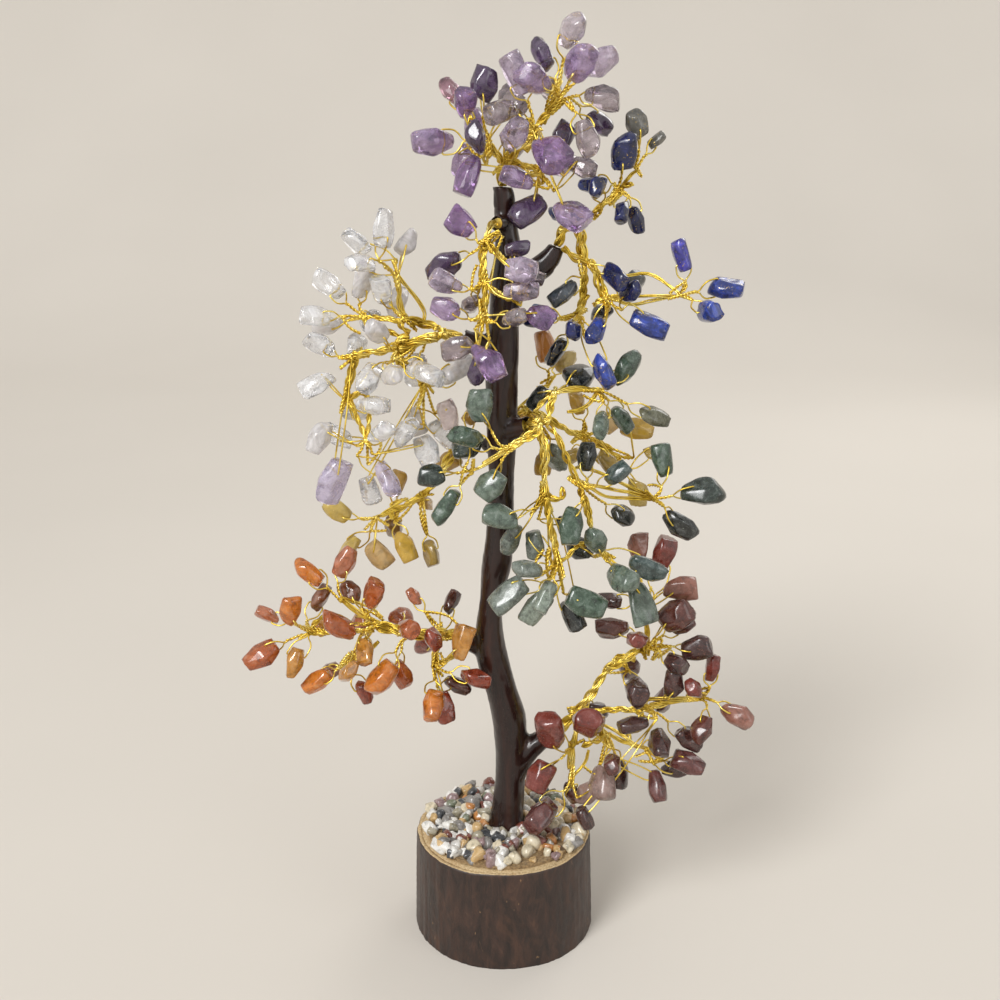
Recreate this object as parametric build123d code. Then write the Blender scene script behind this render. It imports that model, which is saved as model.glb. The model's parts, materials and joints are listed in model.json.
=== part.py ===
from build123d import *
import math
import os
from dataclasses import dataclass

import numpy as np

# Gemstone tree ornament: a lacquered wooden stem stands in a cut log, and bendable wire
# branches glued into its stubs carry drilled, tumbled stone chips.
# Frame: X right, Y away from the viewer, Z up, origin under the middle of the log.

# Log base
LOG_DIAMETER = 60.0
LOG_FOOT_DIAMETER = 62.0
LOG_HEIGHT = 35.0
BARK_THICKNESS = 1.5
BARK_CHAMFER = 0.5
RIM_WIDTH = 3.4
GLUE_THICKNESS = 1.2
TENON_DIAMETER = 8.0
TENON_LENGTH = 20.0
TENON_CLEARANCE = 0.1
FOOT_CLEARANCE = 0.2

# Gravel pressed into the glue
PEBBLE_SPACING = 5.6
PEBBLE_GAP = 0.3
PEBBLE_FILL = 0.94
PEBBLE_HEIGHT = 3.6
PEBBLE_LOW = 0.25
PEBBLE_CORNERS = 6
PEBBLE_BOTTOM = 0.78
PEBBLE_WAIST = 0.45
PEBBLE_TOP = 0.55
PEBBLE_SPREAD = 0.18
PEBBLE_TWIST = 0.5
PEBBLE_COLOURS = ("white", "grey", "amber", "red", "green")

# Stem of the tree: height above the log, lean to the right, lean to the back, diameter
TRUNK_STATIONS = (
    (0.0, 0.8, 0.0, 14.4),
    (6.0, 1.2, 0.0, 11.8),
    (17.0, 1.7, 0.2, 10.8),
    (29.0, 2.3, 0.6, 11.4),
    (40.0, 1.9, 1.0, 12.2),
    (51.0, -0.8, 1.2, 10.6),
    (62.0, -3.7, 1.2, 11.4),
    (74.0, -5.4, 0.8, 9.8),
    (86.0, -4.3, 0.3, 8.6),
    (97.0, -2.3, 0.0, 10.8),
    (107.0, -1.7, -0.3, 9.2),
    (117.0, -1.2, -0.5, 8.7),
    (128.0, -0.8, -0.6, 8.9),
    (139.0, -0.7, -0.5, 9.7),
    (150.0, -0.8, -0.4, 10.6),
    (161.0, -0.7, -0.1, 11.3),
    (172.0, -0.3, 0.2, 11.1),
    (183.0, 0.3, 0.4, 10.3),
    (195.0, 0.9, 0.4, 8.8),
    (205.0, 0.3, 0.2, 7.4),
    (217.0, -0.9, 0.0, 6.4),
)
TRUNK_SECTIONS = 32
BORE_DEPTH = 7.0
BORE_CLEARANCE = 0.15
STUB_WALL = 0.7
STUB_SECTIONS = 4
STUB_CLEAR_FROM = 0.3

# Brass wire: each chip hangs on a twisted pair, and the pairs are twisted into bundles
WIRE_DIAMETER = 0.5
BUNDLE_NESTING = 0.82
WIRE_GAP = 0.2
TWIG_LEAD = 2.4
FLARE_LENGTH = 2.4
FLARE_START = 0.85
BEND_SHARE = 0.95
STRAIGHT_TURN = 2.0
LOOP_NECK = 0.9
LOOP_SHOULDER = 0.8
LOOP_GAP = 0.12
LOOP_BEND = 0.7

# Drilled stone chips
HOLE_DIAMETER = 0.9
HOLE_SHARE = 0.45
CHIP_CORNERS = 6
CHIP_TILT = 30.0
CHIP_INNER_END = 0.68
CHIP_OUTER_END = 0.8
CHIP_END_SCATTER = 0.18
CHIP_SPREAD = 0.16
CHIP_TWIST = 0.4
CHIP_SIZE_SCATTER = 0.08
CHIP_THICKNESS_SCATTER = 0.1

# Room kept between pieces
CHIP_GAP = 0.3
BRANCH_GAP = 2.6
TRUNK_GAP = 1.6
SETTLE_ROUNDS = 200
SETTLE_STEP = 0.5
SETTLE_SHARE = 0.5
SETTLE_TOLERANCE = 0.02
HALF_DIRECTIONS = 150
TRUNK_SAMPLE = 3.0
STEM_SAMPLE = 1.2
TWIG_SAMPLE = 0.8

# Steps of two irrational sequences, which scatter sizes and turns without a visible pattern
GOLDEN_STEP = 0.618034
PLASTIC_STEP = 0.754878
CROSS_STEP = 0.137
GOLDEN_ANGLE = math.pi * (3.0 - math.sqrt(5.0))

UP = np.array((0.0, 0.0, 1.0))
NEARLY_UPRIGHT = 0.9
TINY = 1e-6


@dataclass
class Stub:
    """Short side shoot of the stem: where it leaves, where it points and how it rises."""

    height: float
    bearing: float
    rise_from: float
    rise_to: float
    length: float
    root_diameter: float


@dataclass
class Fork:
    """End of a wire bundle: its place from the stub's mouth, its chips and the next forks."""

    at: tuple
    chips: tuple = ()
    forks: tuple = ()


@dataclass
class Branch:
    """One wire branch: the stub that holds it, its chip's length, width and thickness."""

    name: str
    stub: Stub
    chip: tuple
    fork: Fork


# Chips are given as right, back and up from the mouth, with a size factor where they differ
BRANCHES = (
    Branch(
        "amethyst_crown",
        Stub(217.0, 0.0, 90.0, 90.0, 0.0, 0.0),
        (10.8, 9.6, 7.6),
        Fork(
            (0.8, -1.0, 6.0),
            chips=((3, -8, 13), (4, 11, 12)),
            forks=(
                Fork(
                    (-4.5, -2.0, 13.0),
                    chips=(
                        (-14, 2, 27, 0.8),
                        (-6, -1, 28),
                        (-8, -7, 21, 0.85),
                        (-7, -11, 14),
                        (-17, -3, 13, 1.1),
                        (-11, 3, 9, 0.9),
                        (-10, -7, 4),
                        (-8, 10, 18),
                    ),
                ),
                Fork(
                    (9.5, 0.0, 16.0),
                    chips=(
                        (3, -2, 31, 1.2),
                        (6, 6, 22),
                        (13, -10, 12, 1.3),
                        (-1, -7, 22, 0.9),
                    ),
                    forks=(
                        Fork(
                            (16.5, 0.0, 25.0),
                            chips=(
                                (21, -2, 43),
                                (27, 3, 36),
                                (12, 3, 37, 0.9),
                                (21, -7, 33, 1.15),
                                (13, -5, 29, 1.05),
                                (27, -2, 25, 0.95),
                                (28, 6, 18, 0.85),
                                (25, -6, 14),
                                (15, 12, 28),
                            ),
                        ),
                    ),
                ),
                Fork(
                    (11.0, -2.0, 4.5),
                    chips=(
                        (7, -8, 3, 0.9),
                        (24, -2, 2, 0.85),
                        (11, -6, -5),
                        (18, -5, -4, 1.05),
                        (20, 8, 6),
                        (19, 5, 13, 0.85),
                    ),
                ),
            ),
        ),
    ),
    Branch(
        "amethyst_drop",
        Stub(206.0, -118.0, 5.0, 5.0, 6.5, 4.6),
        (10.4, 9.0, 7.0),
        Fork(
            (-2.5, -6.0, -5.0),
            chips=((-10, -6, 0), (-10, -5, -10, 1.15), (3.5, -4, -5, 0.8), (3, -9, -13), (10, -4, -13, 0.8)),
            forks=(
                Fork(
                    (-3.5, -7.0, -16.5),
                    chips=((-10, -9, -17, 0.9), (6.5, -9, -19), (14, -7, -22, 0.9), (-6, -2, -22, 0.8)),
                    forks=(
                        Fork(
                            (-3.5, -6.5, -26.5),
                            chips=(
                                (-11, -6, -26),
                                (1, -10, -27, 0.8),
                                (-9, -4, -34),
                                (-3, -10, -33, 1.1),
                                (-7, -4, -43, 0.85),
                                (-2, -9, -43, 0.85),
                            ),
                        ),
                    ),
                ),
            ),
        ),
    ),
    Branch(
        "lapis",
        Stub(189.0, 0.0, 0.0, 68.0, 19.5, 10.0),
        (10.0, 8.2, 6.2),
        Fork(
            (4.0, -1.0, 6.5),
            forks=(
                Fork(
                    (11.0, 1.0, 9.0),
                    chips=((9, -6, 15, 0.9), (2, 9, 9, 0.9)),
                    forks=(
                        Fork(
                            (18.0, 2.0, 16.0),
                            chips=((19, -2, 26, 1.05), (12, 5, 19, 0.9), (16, -6, 11, 0.9), (23, 1, 9, 0.9)),
                            forks=(
                                Fork((23.5, 3.0, 23.0), chips=((24, 3, 31, 0.9), (29, 6, 30, 0.6))),
                            ),
                        ),
                    ),
                ),
                Fork(
                    (9.0, 0.0, -5.0),
                    chips=((15, -7, -8), (2, -6, -13, 0.9)),
                    forks=(
                        Fork(
                            (15.5, 0.0, -16.0),
                            chips=(
                                (21, -8, -13, 0.85),
                                (15, 7, -21, 0.9),
                                (11, -8, -25, 0.9),
                                (28, -5, -23, 1.3),
                                (24, 8, -12),
                            ),
                            forks=(
                                Fork(
                                    (37.5, -2.0, -14.5),
                                    chips=((38, -4, -6), (42, -8, -16, 0.95), (48, -1, -13, 1.1)),
                                ),
                            ),
                        ),
                        Fork(
                            (6.5, 2.0, -21.0),
                            chips=(
                                (4, -6, -23, 0.95),
                                (-4, -4, -19, 0.85),
                                (14, -9, -37, 1.1),
                                (1, 3, -34, 0.9),
                                (-6, 8, -25, 0.85),
                            ),
                        ),
                    ),
                ),
            ),
        ),
    ),
    Branch(
        "quartz",
        Stub(164.0, 180.0, 42.0, 15.0, 14.8, 10.4),
        (10.8, 9.0, 6.8),
        Fork(
            (-7.0, -1.0, 2.0),
            chips=((-15, 9, -12),),
            forks=(
                Fork(
                    (-17.0, -3.0, 6.5),
                    chips=((-20, 8, 10), (-22, -6, 15, 0.85)),
                    forks=(
                        Fork(
                            (-19.5, -3.0, 20.0),
                            chips=((-24, -3, 33), (-31, -2, 27, 0.95), (-26, -9, 23, 0.9), (-16, 3, 29, 0.8)),
                        ),
                        Fork(
                            (-30.0, 0.0, 7.0),
                            chips=(
                                (-31, -1, 18, 0.9),
                                (-38, 0, 15),
                                (-44, -2, 8, 0.9),
                                (-42, 7, 3, 0.9),
                                (-30, 9, 4),
                            ),
                        ),
                    ),
                ),
                Fork(
                    (-19.0, -4.0, -3.0),
                    chips=((-18, -12, -6), (-25, -10, -11), (-25, -11, 3, 0.8), (-9, -9, -4, 1.1)),
                    forks=(
                        Fork(
                            (-33.0, -4.0, -5.5),
                            chips=((-42, -5, -2, 0.9), (-42, -7, -11), (-33, 5, -3, 0.9)),
                            forks=(
                                Fork(
                                    (-35.0, -5.0, -18.0),
                                    chips=((-29, -11, -17, 0.9), (-41, -8, -26), (-34, 4, -24, 0.9)),
                                    forks=(
                                        Fork(
                                            (-30.0, -6.0, -31.0),
                                            chips=(
                                                (-37, -9, -40, 1.3),
                                                (-24, -9, -43, 1.05),
                                                (-29, -3, -47, 0.9),
                                                (-25, -10, -29, 0.9),
                                                (-36, -2, -32, 0.9),
                                            ),
                                        ),
                                    ),
                                ),
                            ),
                        ),
                        Fork(
                            (-12.0, -4.0, -13.0),
                            chips=(
                                (-3, -1, -12, 1.2),
                                (-4, -2, -22, 0.9),
                                (-17, -7, -27, 0.9),
                                (-13, 1, -26, 0.9),
                                (-5, 2, -31, 0.9),
                                (-11, -6, -34, 0.9),
                            ),
                        ),
                    ),
                ),
            ),
        ),
    ),
    Branch(
        "aventurine",
        Stub(142.0, -38.0, 10.0, 22.0, 11.0, 8.0),
        (11.2, 9.8, 7.0),
        Fork(
            (3.5, -5.5, 2.0),
            chips=((7, -3, -5, 0.85),),
            forks=(
                Fork(
                    (8.0, -2.0, 11.0),
                    chips=((2, 4, 10, 0.8), (14, 8, 14, 1.15)),
                    forks=(
                        Fork(
                            (21.0, 2.0, 10.5),
                            chips=((28, 8, 14, 1.05), (27, 5, 4, 0.9), (22, -5, 3, 0.85), (38, 1, 3, 0.95)),
                        ),
                    ),
                ),
                Fork(
                    (-6.0, -8.0, -5.0),
                    chips=((-16, -7, 10, 0.95), (-17, -11, 1), (-11, -10, -16, 0.9)),
                    forks=(
                        Fork(
                            (-17.5, -9.0, -12.0),
                            chips=((-18, -2, -10, 1.1), (-27, -9, -13, 0.9), (-26, -10, -23)),
                        ),
                    ),
                ),
                Fork(
                    (16.5, -4.0, -18.0),
                    chips=((18, 1, -12, 0.8), (26, -7, -14, 0.85), (15, -10, -25), (30, 3, -30, 0.85)),
                    forks=(
                        Fork(
                            (39.0, -2.0, -23.0),
                            chips=((42, 2, -16, 0.9), (53, -2, -21, 1.25), (46, 1, -30, 1.05)),
                        ),
                        Fork(
                            (22.5, -3.0, -40.0),
                            chips=(
                                (21, -10, -35, 0.85),
                                (17, 5, -42, 0.9),
                                (26, -11, -43, 1.1),
                                (36, -6, -46, 1.1),
                                (36, -6, -57, 1.15),
                            ),
                        ),
                    ),
                ),
                Fork(
                    (4.5, -7.0, -21.0),
                    chips=((-3, -9, -25), (-6, -7, -34, 0.9), (2, -3, -37, 0.9), (11, 1, -33, 0.85)),
                    forks=(
                        Fork(
                            (8.5, -8.0, -42.0),
                            chips=(
                                (1, -15, -42, 0.9),
                                (5, -15, -51, 0.9),
                                (-6, -8, -53, 1.1),
                                (3, -6, -58, 1.05),
                                (13, -4, -61, 0.95),
                                (17, -11, -54, 1.1),
                            ),
                        ),
                    ),
                ),
            ),
        ),
    ),
    Branch(
        "yellow_left",
        Stub(134.0, 130.0, 15.0, 15.0, 9.0, 6.0),
        (9.8, 8.8, 6.4),
        Fork(
            (-5.0, 5.0, 0.5),
            chips=((-4, 14, 6, 0.9), (-12, 13, -10, 0.9)),
            forks=(
                Fork(
                    (-21.0, 6.0, -19.5),
                    chips=((-18, 4, -40, 0.95), (-21, 13, -24, 0.8)),
                    forks=(
                        Fork(
                            (-29.0, 4.0, -24.0),
                            chips=((-27, 1, -34, 1.15), (-31, 10, -30), (-30, 9, -19, 0.85)),
                            forks=(
                                Fork(
                                    (-36.0, 3.0, -26.5),
                                    chips=((-45, 2, -25), (-45, 4, -38, 0.9), (-37, 2, -38)),
                                ),
                            ),
                        ),
                    ),
                ),
            ),
        ),
    ),
    Branch(
        "yellow_right",
        Stub(142.0, 60.0, 15.0, 15.0, 9.0, 6.0),
        (9.6, 8.6, 6.2),
        Fork(
            (3.5, 5.0, 1.0),
            chips=((4, 14, -2, 0.9), (9, 4, -16, 0.85)),
            forks=(
                Fork((10.0, 6.0, 9.0), chips=((9, 6, 22, 1.15), (15, 12, 14, 0.9))),
                Fork(
                    (21.0, 5.0, -7.0),
                    chips=((20, 3, 4, 0.9), (30, 3, -3, 0.9), (29, 2, -14), (39, 6, -5), (18, 13, -17, 0.9)),
                    forks=(Fork((34.0, 6.0, -15.0), chips=((40, 6, -25), (43, 8, -15, 0.85))),),
                ),
            ),
        ),
    ),
    Branch(
        "carnelian",
        Stub(66.0, 173.0, 20.0, 30.0, 9.7, 8.2),
        (10.4, 8.8, 6.8),
        Fork(
            (-7.0, -2.0, 2.0),
            chips=((-5, 9, 9, 0.8), (-14, 8, -6, 0.9), (-10, -12, 5), (-17, 4, 13, 0.7)),
            forks=(
                Fork(
                    (-18.0, -6.0, 4.0),
                    chips=((-18, -15, 9), (-27, -16, -7, 1.2), (-21, -7, -10, 0.9), (-22, 8, 4)),
                    forks=(
                        Fork(
                            (-30.0, -4.0, 6.5),
                            chips=(
                                (-40, -14, 10, 1.1),
                                (-30, -6, 17),
                                (-38, 3, 15, 0.85),
                                (-33, -13, 1, 0.85),
                                (-36, 9, 2),
                            ),
                            forks=(
                                Fork((-41.0, -2.0, 15.0), chips=((-51, -2, 24), (-40, -1, 25))),
                                Fork(
                                    (-51.0, -5.0, 4.5),
                                    chips=(
                                        (-55, -10, 12),
                                        (-49, 1, 12, 0.9),
                                        (-65, -2, 9, 0.85),
                                        (-67, -7, -3, 1.1),
                                        (-56, -10, -4),
                                        (-48, 7, 1, 0.9),
                                    ),
                                ),
                                Fork(
                                    (-38.0, -7.0, -5.0),
                                    chips=(
                                        (-49, -8, -12),
                                        (-44, -1, -11, 0.9),
                                        (-38, -15, -5, 0.9),
                                        (-34, -7, -16, 0.8),
                                    ),
                                ),
                            ),
                        ),
                    ),
                ),
                Fork(
                    (-10.0, -7.0, -6.5),
                    chips=(
                        (0, -10, 0, 1.1),
                        (-1, -10, -7),
                        (-10, -14, -11, 1.1),
                        (-3, -4, -16, 0.85),
                        (-7, -10, -20, 1.05),
                    ),
                ),
            ),
        ),
    ),
    Branch(
        "jasper",
        Stub(20.0, 2.0, 65.0, 28.0, 23.0, 11.0),
        (10.4, 9.4, 7.4),
        Fork(
            (7.5, -0.5, 7.0),
            chips=((14, 8, 4),),
            forks=(
                Fork(
                    (20.5, 1.0, 25.0),
                    chips=((26, -8, 19), (25, 9, 20)),
                    forks=(
                        Fork(
                            (29.5, -1.0, 31.5),
                            chips=(
                                (20, 0, 37),
                                (28, -7, 37, 0.9),
                                (36, -4, 41, 1.25),
                                (42, 4, 37, 0.9),
                                (46, -5, 32),
                                (39, -8, 29, 0.85),
                            ),
                            forks=(
                                Fork(
                                    (29.0, 2.0, 44.0),
                                    chips=(
                                        (27, 6, 64, 0.85),
                                        (35, 5, 60, 1.15),
                                        (36, 2, 50),
                                        (19, 4, 46, 0.9),
                                    ),
                                ),
                            ),
                        ),
                    ),
                ),
                Fork(
                    (31.0, -4.0, 10.5),
                    chips=((38, -6, 19, 0.95), (25, -13, 9, 0.9), (34, -9, 3), (43, -7, 1), (37, 7, 8)),
                    forks=(
                        Fork(
                            (48.5, -3.0, 14.0),
                            chips=((52, -1, 24, 0.8), (58, -5, 10), (48, -10, 7), (46, -9, 19, 0.75)),
                        ),
                    ),
                ),
                Fork(
                    (16.5, -8.0, 2.5),
                    chips=(
                        (11, -16, 10, 1.35),
                        (17, -17, 0, 0.9),
                        (14, -13, -9, 1.1),
                        (11, -13, -17, 0.9),
                        (21, -7, -12),
                    ),
                    forks=(
                        Fork(
                            (30.0, -9.0, -2.5),
                            chips=((33, -13, -10, 1.05), (43, -11, -6), (41, -4, -12, 0.85)),
                        ),
                    ),
                ),
                Fork(
                    (5.0, -9.5, -1.0),
                    chips=((0, -15, 5, 1.35), (-3, -12, -10)),
                    forks=(
                        Fork(
                            (5.0, -10.0, -12.5),
                            chips=((0, -14, -22, 1.3), (9, -14, -23, 0.8), (6, -5, -21, 0.85)),
                        ),
                    ),
                ),
            ),
        ),
    ),
)


def wobble(index, channel):
    """Scattered value from 0 to 1 for one index and channel."""
    return (index * GOLDEN_STEP + channel * PLASTIC_STEP + index * channel * CROSS_STEP) % 1.0


def scatter(seed, channel, amount):
    """Factor about 1, up or down by as much as the amount."""
    return 1.0 + amount * (2 * wobble(seed, channel) - 1)


def unit(vector):
    return vector / np.linalg.norm(vector)


def square_to(direction):
    """Two unit vectors square to a direction and to each other."""
    helper = UP if abs(direction[2]) < NEARLY_UPRIGHT else np.array((1.0, 0.0, 0.0))
    first = unit(np.cross(helper, direction))
    return first, np.cross(direction, first)


def plane_at(point, direction):
    return Plane(origin=tuple(point), z_dir=tuple(direction))


# Log, glue and gravel


def make_log_core():
    radius = LOG_DIAMETER / 2 - BARK_THICKNESS
    foot_radius = LOG_FOOT_DIAMETER / 2 - BARK_THICKNESS
    core = Solid.make_cone(foot_radius, radius, LOG_HEIGHT)
    foot = trunk_point(0.0)
    socket_radius = TENON_DIAMETER / 2 + TENON_CLEARANCE
    socket = Solid.make_cylinder(socket_radius, TENON_LENGTH, plane_at(foot - UP * TENON_LENGTH, UP))
    return core - socket


def make_bark():
    outer = Solid.make_cone(LOG_FOOT_DIAMETER / 2, LOG_DIAMETER / 2, LOG_HEIGHT)
    inner = Solid.make_cone(
        LOG_FOOT_DIAMETER / 2 - BARK_THICKNESS, LOG_DIAMETER / 2 - BARK_THICKNESS, LOG_HEIGHT
    )
    ring = outer - inner
    top_edges = ring.edges().filter_by(GeomType.CIRCLE).filter_by_position(Axis.Z, LOG_HEIGHT, LOG_HEIGHT)
    return chamfer(top_edges.sort_by(SortBy.RADIUS)[-1], BARK_CHAMFER)


def make_glue_bed():
    foot = trunk_point(0.0)
    opening = TRUNK_STATIONS[0][3] / 2 + FOOT_CLEARANCE
    bed = Solid.make_cylinder(LOG_DIAMETER / 2 - RIM_WIDTH, GLUE_THICKNESS, plane_at(UP * LOG_HEIGHT, UP))
    return bed - Solid.make_cylinder(opening, GLUE_THICKNESS, plane_at(foot, UP))


def make_pebble(place, radius, seed):
    """Broken pebble with a flat underside that sits on the glue."""
    corners = []
    rings = ((0.0, PEBBLE_BOTTOM), (PEBBLE_WAIST, 1.0), (1.0, PEBBLE_TOP))
    tall = PEBBLE_HEIGHT * (1 - PEBBLE_LOW * wobble(seed, 2))
    for level, (share, taper) in enumerate(rings):
        for corner in range(PEBBLE_CORNERS):
            place_in_ring = corner + level / 2 + PEBBLE_TWIST * wobble(seed, corner + level)
            turn = 2 * math.pi * place_in_ring / PEBBLE_CORNERS
            reach = radius * taper * (1 - PEBBLE_SPREAD * wobble(seed, 3 * corner + level))
            offset = np.array((reach * math.cos(turn), reach * math.sin(turn), tall * share))
            corners.append(tuple(place + offset))
    return ConvexPolyhedron(corners).solid()


def make_gravel():
    """Pebbles on a sunflower spiral over the glue, sorted into one group for each colour."""
    radius = PEBBLE_FILL * (PEBBLE_SPACING - PEBBLE_GAP) / 2
    foot = trunk_point(0.0)
    clear_of_trunk = TRUNK_STATIONS[0][3] / 2 + radius + PEBBLE_GAP
    limit = LOG_DIAMETER / 2 - RIM_WIDTH - radius
    groups = {colour: [] for colour in PEBBLE_COLOURS}
    for seed in range(int(math.pi * (limit / PEBBLE_SPACING) ** 2) + 1):
        distance = PEBBLE_SPACING * math.sqrt(seed / math.pi)
        turn = seed * GOLDEN_ANGLE
        place = np.array((distance * math.cos(turn), distance * math.sin(turn), LOG_HEIGHT + GLUE_THICKNESS))
        if distance > limit or np.hypot(*(place - foot)[:2]) < clear_of_trunk:
            continue
        colour = PEBBLE_COLOURS[int(wobble(seed, 5) * len(PEBBLE_COLOURS))]
        groups[colour].append(make_pebble(place, radius, seed))
    return groups


# Stem of the tree


def trunk_point(height):
    """Centre of the stem at a height above the log."""
    heights, right, back, _ = zip(*TRUNK_STATIONS)
    x = np.interp(height, heights, right)
    y = np.interp(height, heights, back)
    return np.array((x, y, LOG_HEIGHT + height))


def trunk_radius(height):
    heights, _, _, diameters = zip(*TRUNK_STATIONS)
    return np.interp(height, heights, diameters) / 2


def stub_frame(stub, share):
    """Point and direction at a share of a stub's length, along an arc that rises steadily."""
    bearing = math.radians(stub.bearing)
    outward = np.array((math.cos(bearing), math.sin(bearing), 0.0))
    start = math.radians(stub.rise_from)
    turn = math.radians(stub.rise_to - stub.rise_from) * share
    mean = start + turn / 2
    chord = stub.length * share * np.sinc(turn / (2 * math.pi))
    point = trunk_point(stub.height) + chord * (math.cos(mean) * outward + math.sin(mean) * UP)
    return point, math.cos(start + turn) * outward + math.sin(start + turn) * UP


def bore_radius(branch):
    return bundle_radius(chip_count(branch.fork)) + BORE_CLEARANCE


def make_stub(branch):
    """Tapered shoot from the heart of the stem to the mouth that holds the wires."""
    stub = branch.stub
    tip_radius = bore_radius(branch) + STUB_WALL
    sections = []
    for step in range(STUB_SECTIONS):
        share = step / (STUB_SECTIONS - 1)
        radius = stub.root_diameter / 2 * (1 - share) + tip_radius * share
        sections.append(plane_at(*stub_frame(stub, share)) * Circle(radius))
    return loft(sections).solid()


def make_trunk():
    heights = np.linspace(0.0, TRUNK_STATIONS[-1][0], TRUNK_SECTIONS)
    sections = [plane_at(trunk_point(height), UP) * Circle(trunk_radius(height)) for height in heights]
    foot = trunk_point(0.0)
    trunk = loft(sections).solid()
    tenon = Solid.make_cylinder(TENON_DIAMETER / 2, TENON_LENGTH, plane_at(foot - UP * TENON_LENGTH, UP))
    shoots = [make_stub(branch) for branch in BRANCHES if branch.stub.length > 0]
    bores = []
    for branch in BRANCHES:
        mouth, outward = stub_frame(branch.stub, 1.0)
        start = mouth - outward * BORE_DEPTH
        bores.append(Solid.make_cylinder(bore_radius(branch), 2 * BORE_DEPTH, plane_at(start, outward)))
    return trunk.fuse(tenon, *shoots).cut(*bores).solid()


def make_wire_roots():
    """Ends of the bundles, glued into the bores behind the point where each branch bends."""
    roots = []
    for branch in BRANCHES:
        mouth, outward = stub_frame(branch.stub, 1.0)
        radius = bundle_radius(chip_count(branch.fork))
        start = mouth - outward * BORE_DEPTH
        roots.append(Solid.make_cylinder(radius, BORE_DEPTH - radius, plane_at(start, outward)))
    return roots


# Layout of the wire branches


@dataclass
class Stem:
    """Twisted bundle from one fork to the next, flared at its end where the wires part."""

    branch: int
    route: list
    radius: float
    flare: float
    is_first: bool


@dataclass
class Twig:
    """Twisted pair that carries one chip, with the chip's half sizes and place."""

    branch: int
    slot: np.ndarray
    heading: np.ndarray
    centre: np.ndarray
    half: tuple
    seed: int


def chip_count(fork):
    return len(fork.chips) + sum(chip_count(child) for child in fork.forks)


def bundle_radius(pairs):
    """Radius of a round bundle of twisted pairs, whose wires nest into each other."""
    return WIRE_DIAMETER * max(1.0, BUNDLE_NESTING * math.sqrt(pairs))


def pack_ring(end, heading, targets, radii):
    """Start points of the wires that leave a fork, side by side on a ring, each facing its target."""
    if len(radii) == 1:
        return [end], radii[0]
    first, second = square_to(heading)
    aims = [math.atan2((target - end) @ second, (target - end) @ first) for target in targets]
    order = sorted(range(len(aims)), key=lambda index: aims[index])
    total = sum(radii)
    turns = {}
    swept = 0.0
    for index in order:
        turns[index] = (swept + radii[index] / 2) * 2 * math.pi / total
        swept += radii[index]
    ring = 0.0
    for here, there in zip(order, order[1:] + order[:1]):
        between = (turns[there] - turns[here]) % (2 * math.pi)
        ring = max(ring, (radii[here] + radii[there] + WIRE_GAP) / (2 * math.sin(between / 2)))
    offsets = [complex(math.cos(aims[k] - turns[k]), math.sin(aims[k] - turns[k])) for k in order]
    shift = math.atan2(sum(offsets).imag, sum(offsets).real)
    slots = []
    for index in range(len(radii)):
        turn = turns[index] + shift
        slots.append(end + ring * (math.cos(turn) * first + math.sin(turn) * second))
    return slots, ring + max(radii)


def stem_route(start, leaving, end, arriving):
    """Corners of two tangent arcs that leave and arrive in set directions, with equal leads."""
    span = end - start
    along = span @ (leaving + arriving)
    bend = max(TINY, 2 * (1 - leaving @ arriving))
    lead = (math.sqrt(along**2 + bend * (span @ span)) - along) / bend
    return [start, start + leaving * lead, end - arriving * lead, end]


def grow(branch_index, fork, mouth, start, leaving, stems, twigs):
    """Adds the bundle that ends at a fork, its twigs and, in turn, the forks beyond it."""
    branch = BRANCHES[branch_index]
    end = mouth + np.array(fork.at)
    targets = [mouth + np.array(chip[:3], float) for chip in fork.chips]
    targets += [mouth + np.array(child.at) for child in fork.forks]
    weights = [1] * len(fork.chips) + [chip_count(child) for child in fork.forks]
    radii = [bundle_radius(weight) for weight in weights]
    pull = sum(weight * unit(target - end) for weight, target in zip(weights, targets))
    arriving = unit(unit(end - start) + unit(pull))
    slots, spread = pack_ring(end, arriving, targets, radii)
    radius = bundle_radius(sum(weights))
    route = stem_route(start, leaving, end, arriving)
    stems.append(Stem(branch_index, route, radius, max(radius, spread), np.allclose(start, mouth)))
    for chip, target, slot in zip(fork.chips, targets, slots):
        seed = len(twigs)
        size = chip[3] if len(chip) > 3 else 1.0
        length, width, thickness = (side / 2 * size for side in branch.chip)
        length *= scatter(seed, 7, CHIP_SIZE_SCATTER)
        width *= scatter(seed, 8, CHIP_SIZE_SCATTER)
        thickness *= scatter(seed, 9, CHIP_THICKNESS_SCATTER)
        twigs.append(Twig(branch_index, slot, arriving, target, (length, width, thickness), seed))
    for child, slot in zip(fork.forks, slots[len(fork.chips):]):
        grow(branch_index, child, mouth, slot, arriving, stems, twigs)


def hang(twig):
    """How a chip sits: twig's corner and end, drilled hole, and the chip's three directions."""
    length, width, _ = twig.half
    corner = twig.slot + twig.heading * TWIG_LEAD
    toward = unit(twig.centre - corner)
    first, second = square_to(toward)
    roll = 2 * math.pi * wobble(twig.seed, 1)
    drilled = math.cos(roll) * first + math.sin(roll) * second
    tilt = math.radians(CHIP_TILT) * (2 * wobble(twig.seed, 2) - 1)
    along = math.cos(tilt) * toward + math.sin(tilt) * np.cross(drilled, toward)
    hole = twig.centre - along * HOLE_SHARE * length
    toward = unit(hole - corner)
    drilled = unit(drilled - toward * (drilled @ toward))
    along = unit(along - drilled * (along @ drilled))
    inner_width = width * (CHIP_INNER_END * (1 + CHIP_END_SCATTER) + CHIP_SPREAD)
    slope = along @ toward
    inner_reach = (1 - HOLE_SHARE) * length * slope + inner_width * math.sqrt(max(0.0, 1 - slope**2))
    reach = inner_reach + WIRE_DIAMETER / 2 + LOOP_GAP + LOOP_SHOULDER + LOOP_NECK
    return corner, hole - toward * reach, hole, toward, drilled, along


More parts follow.
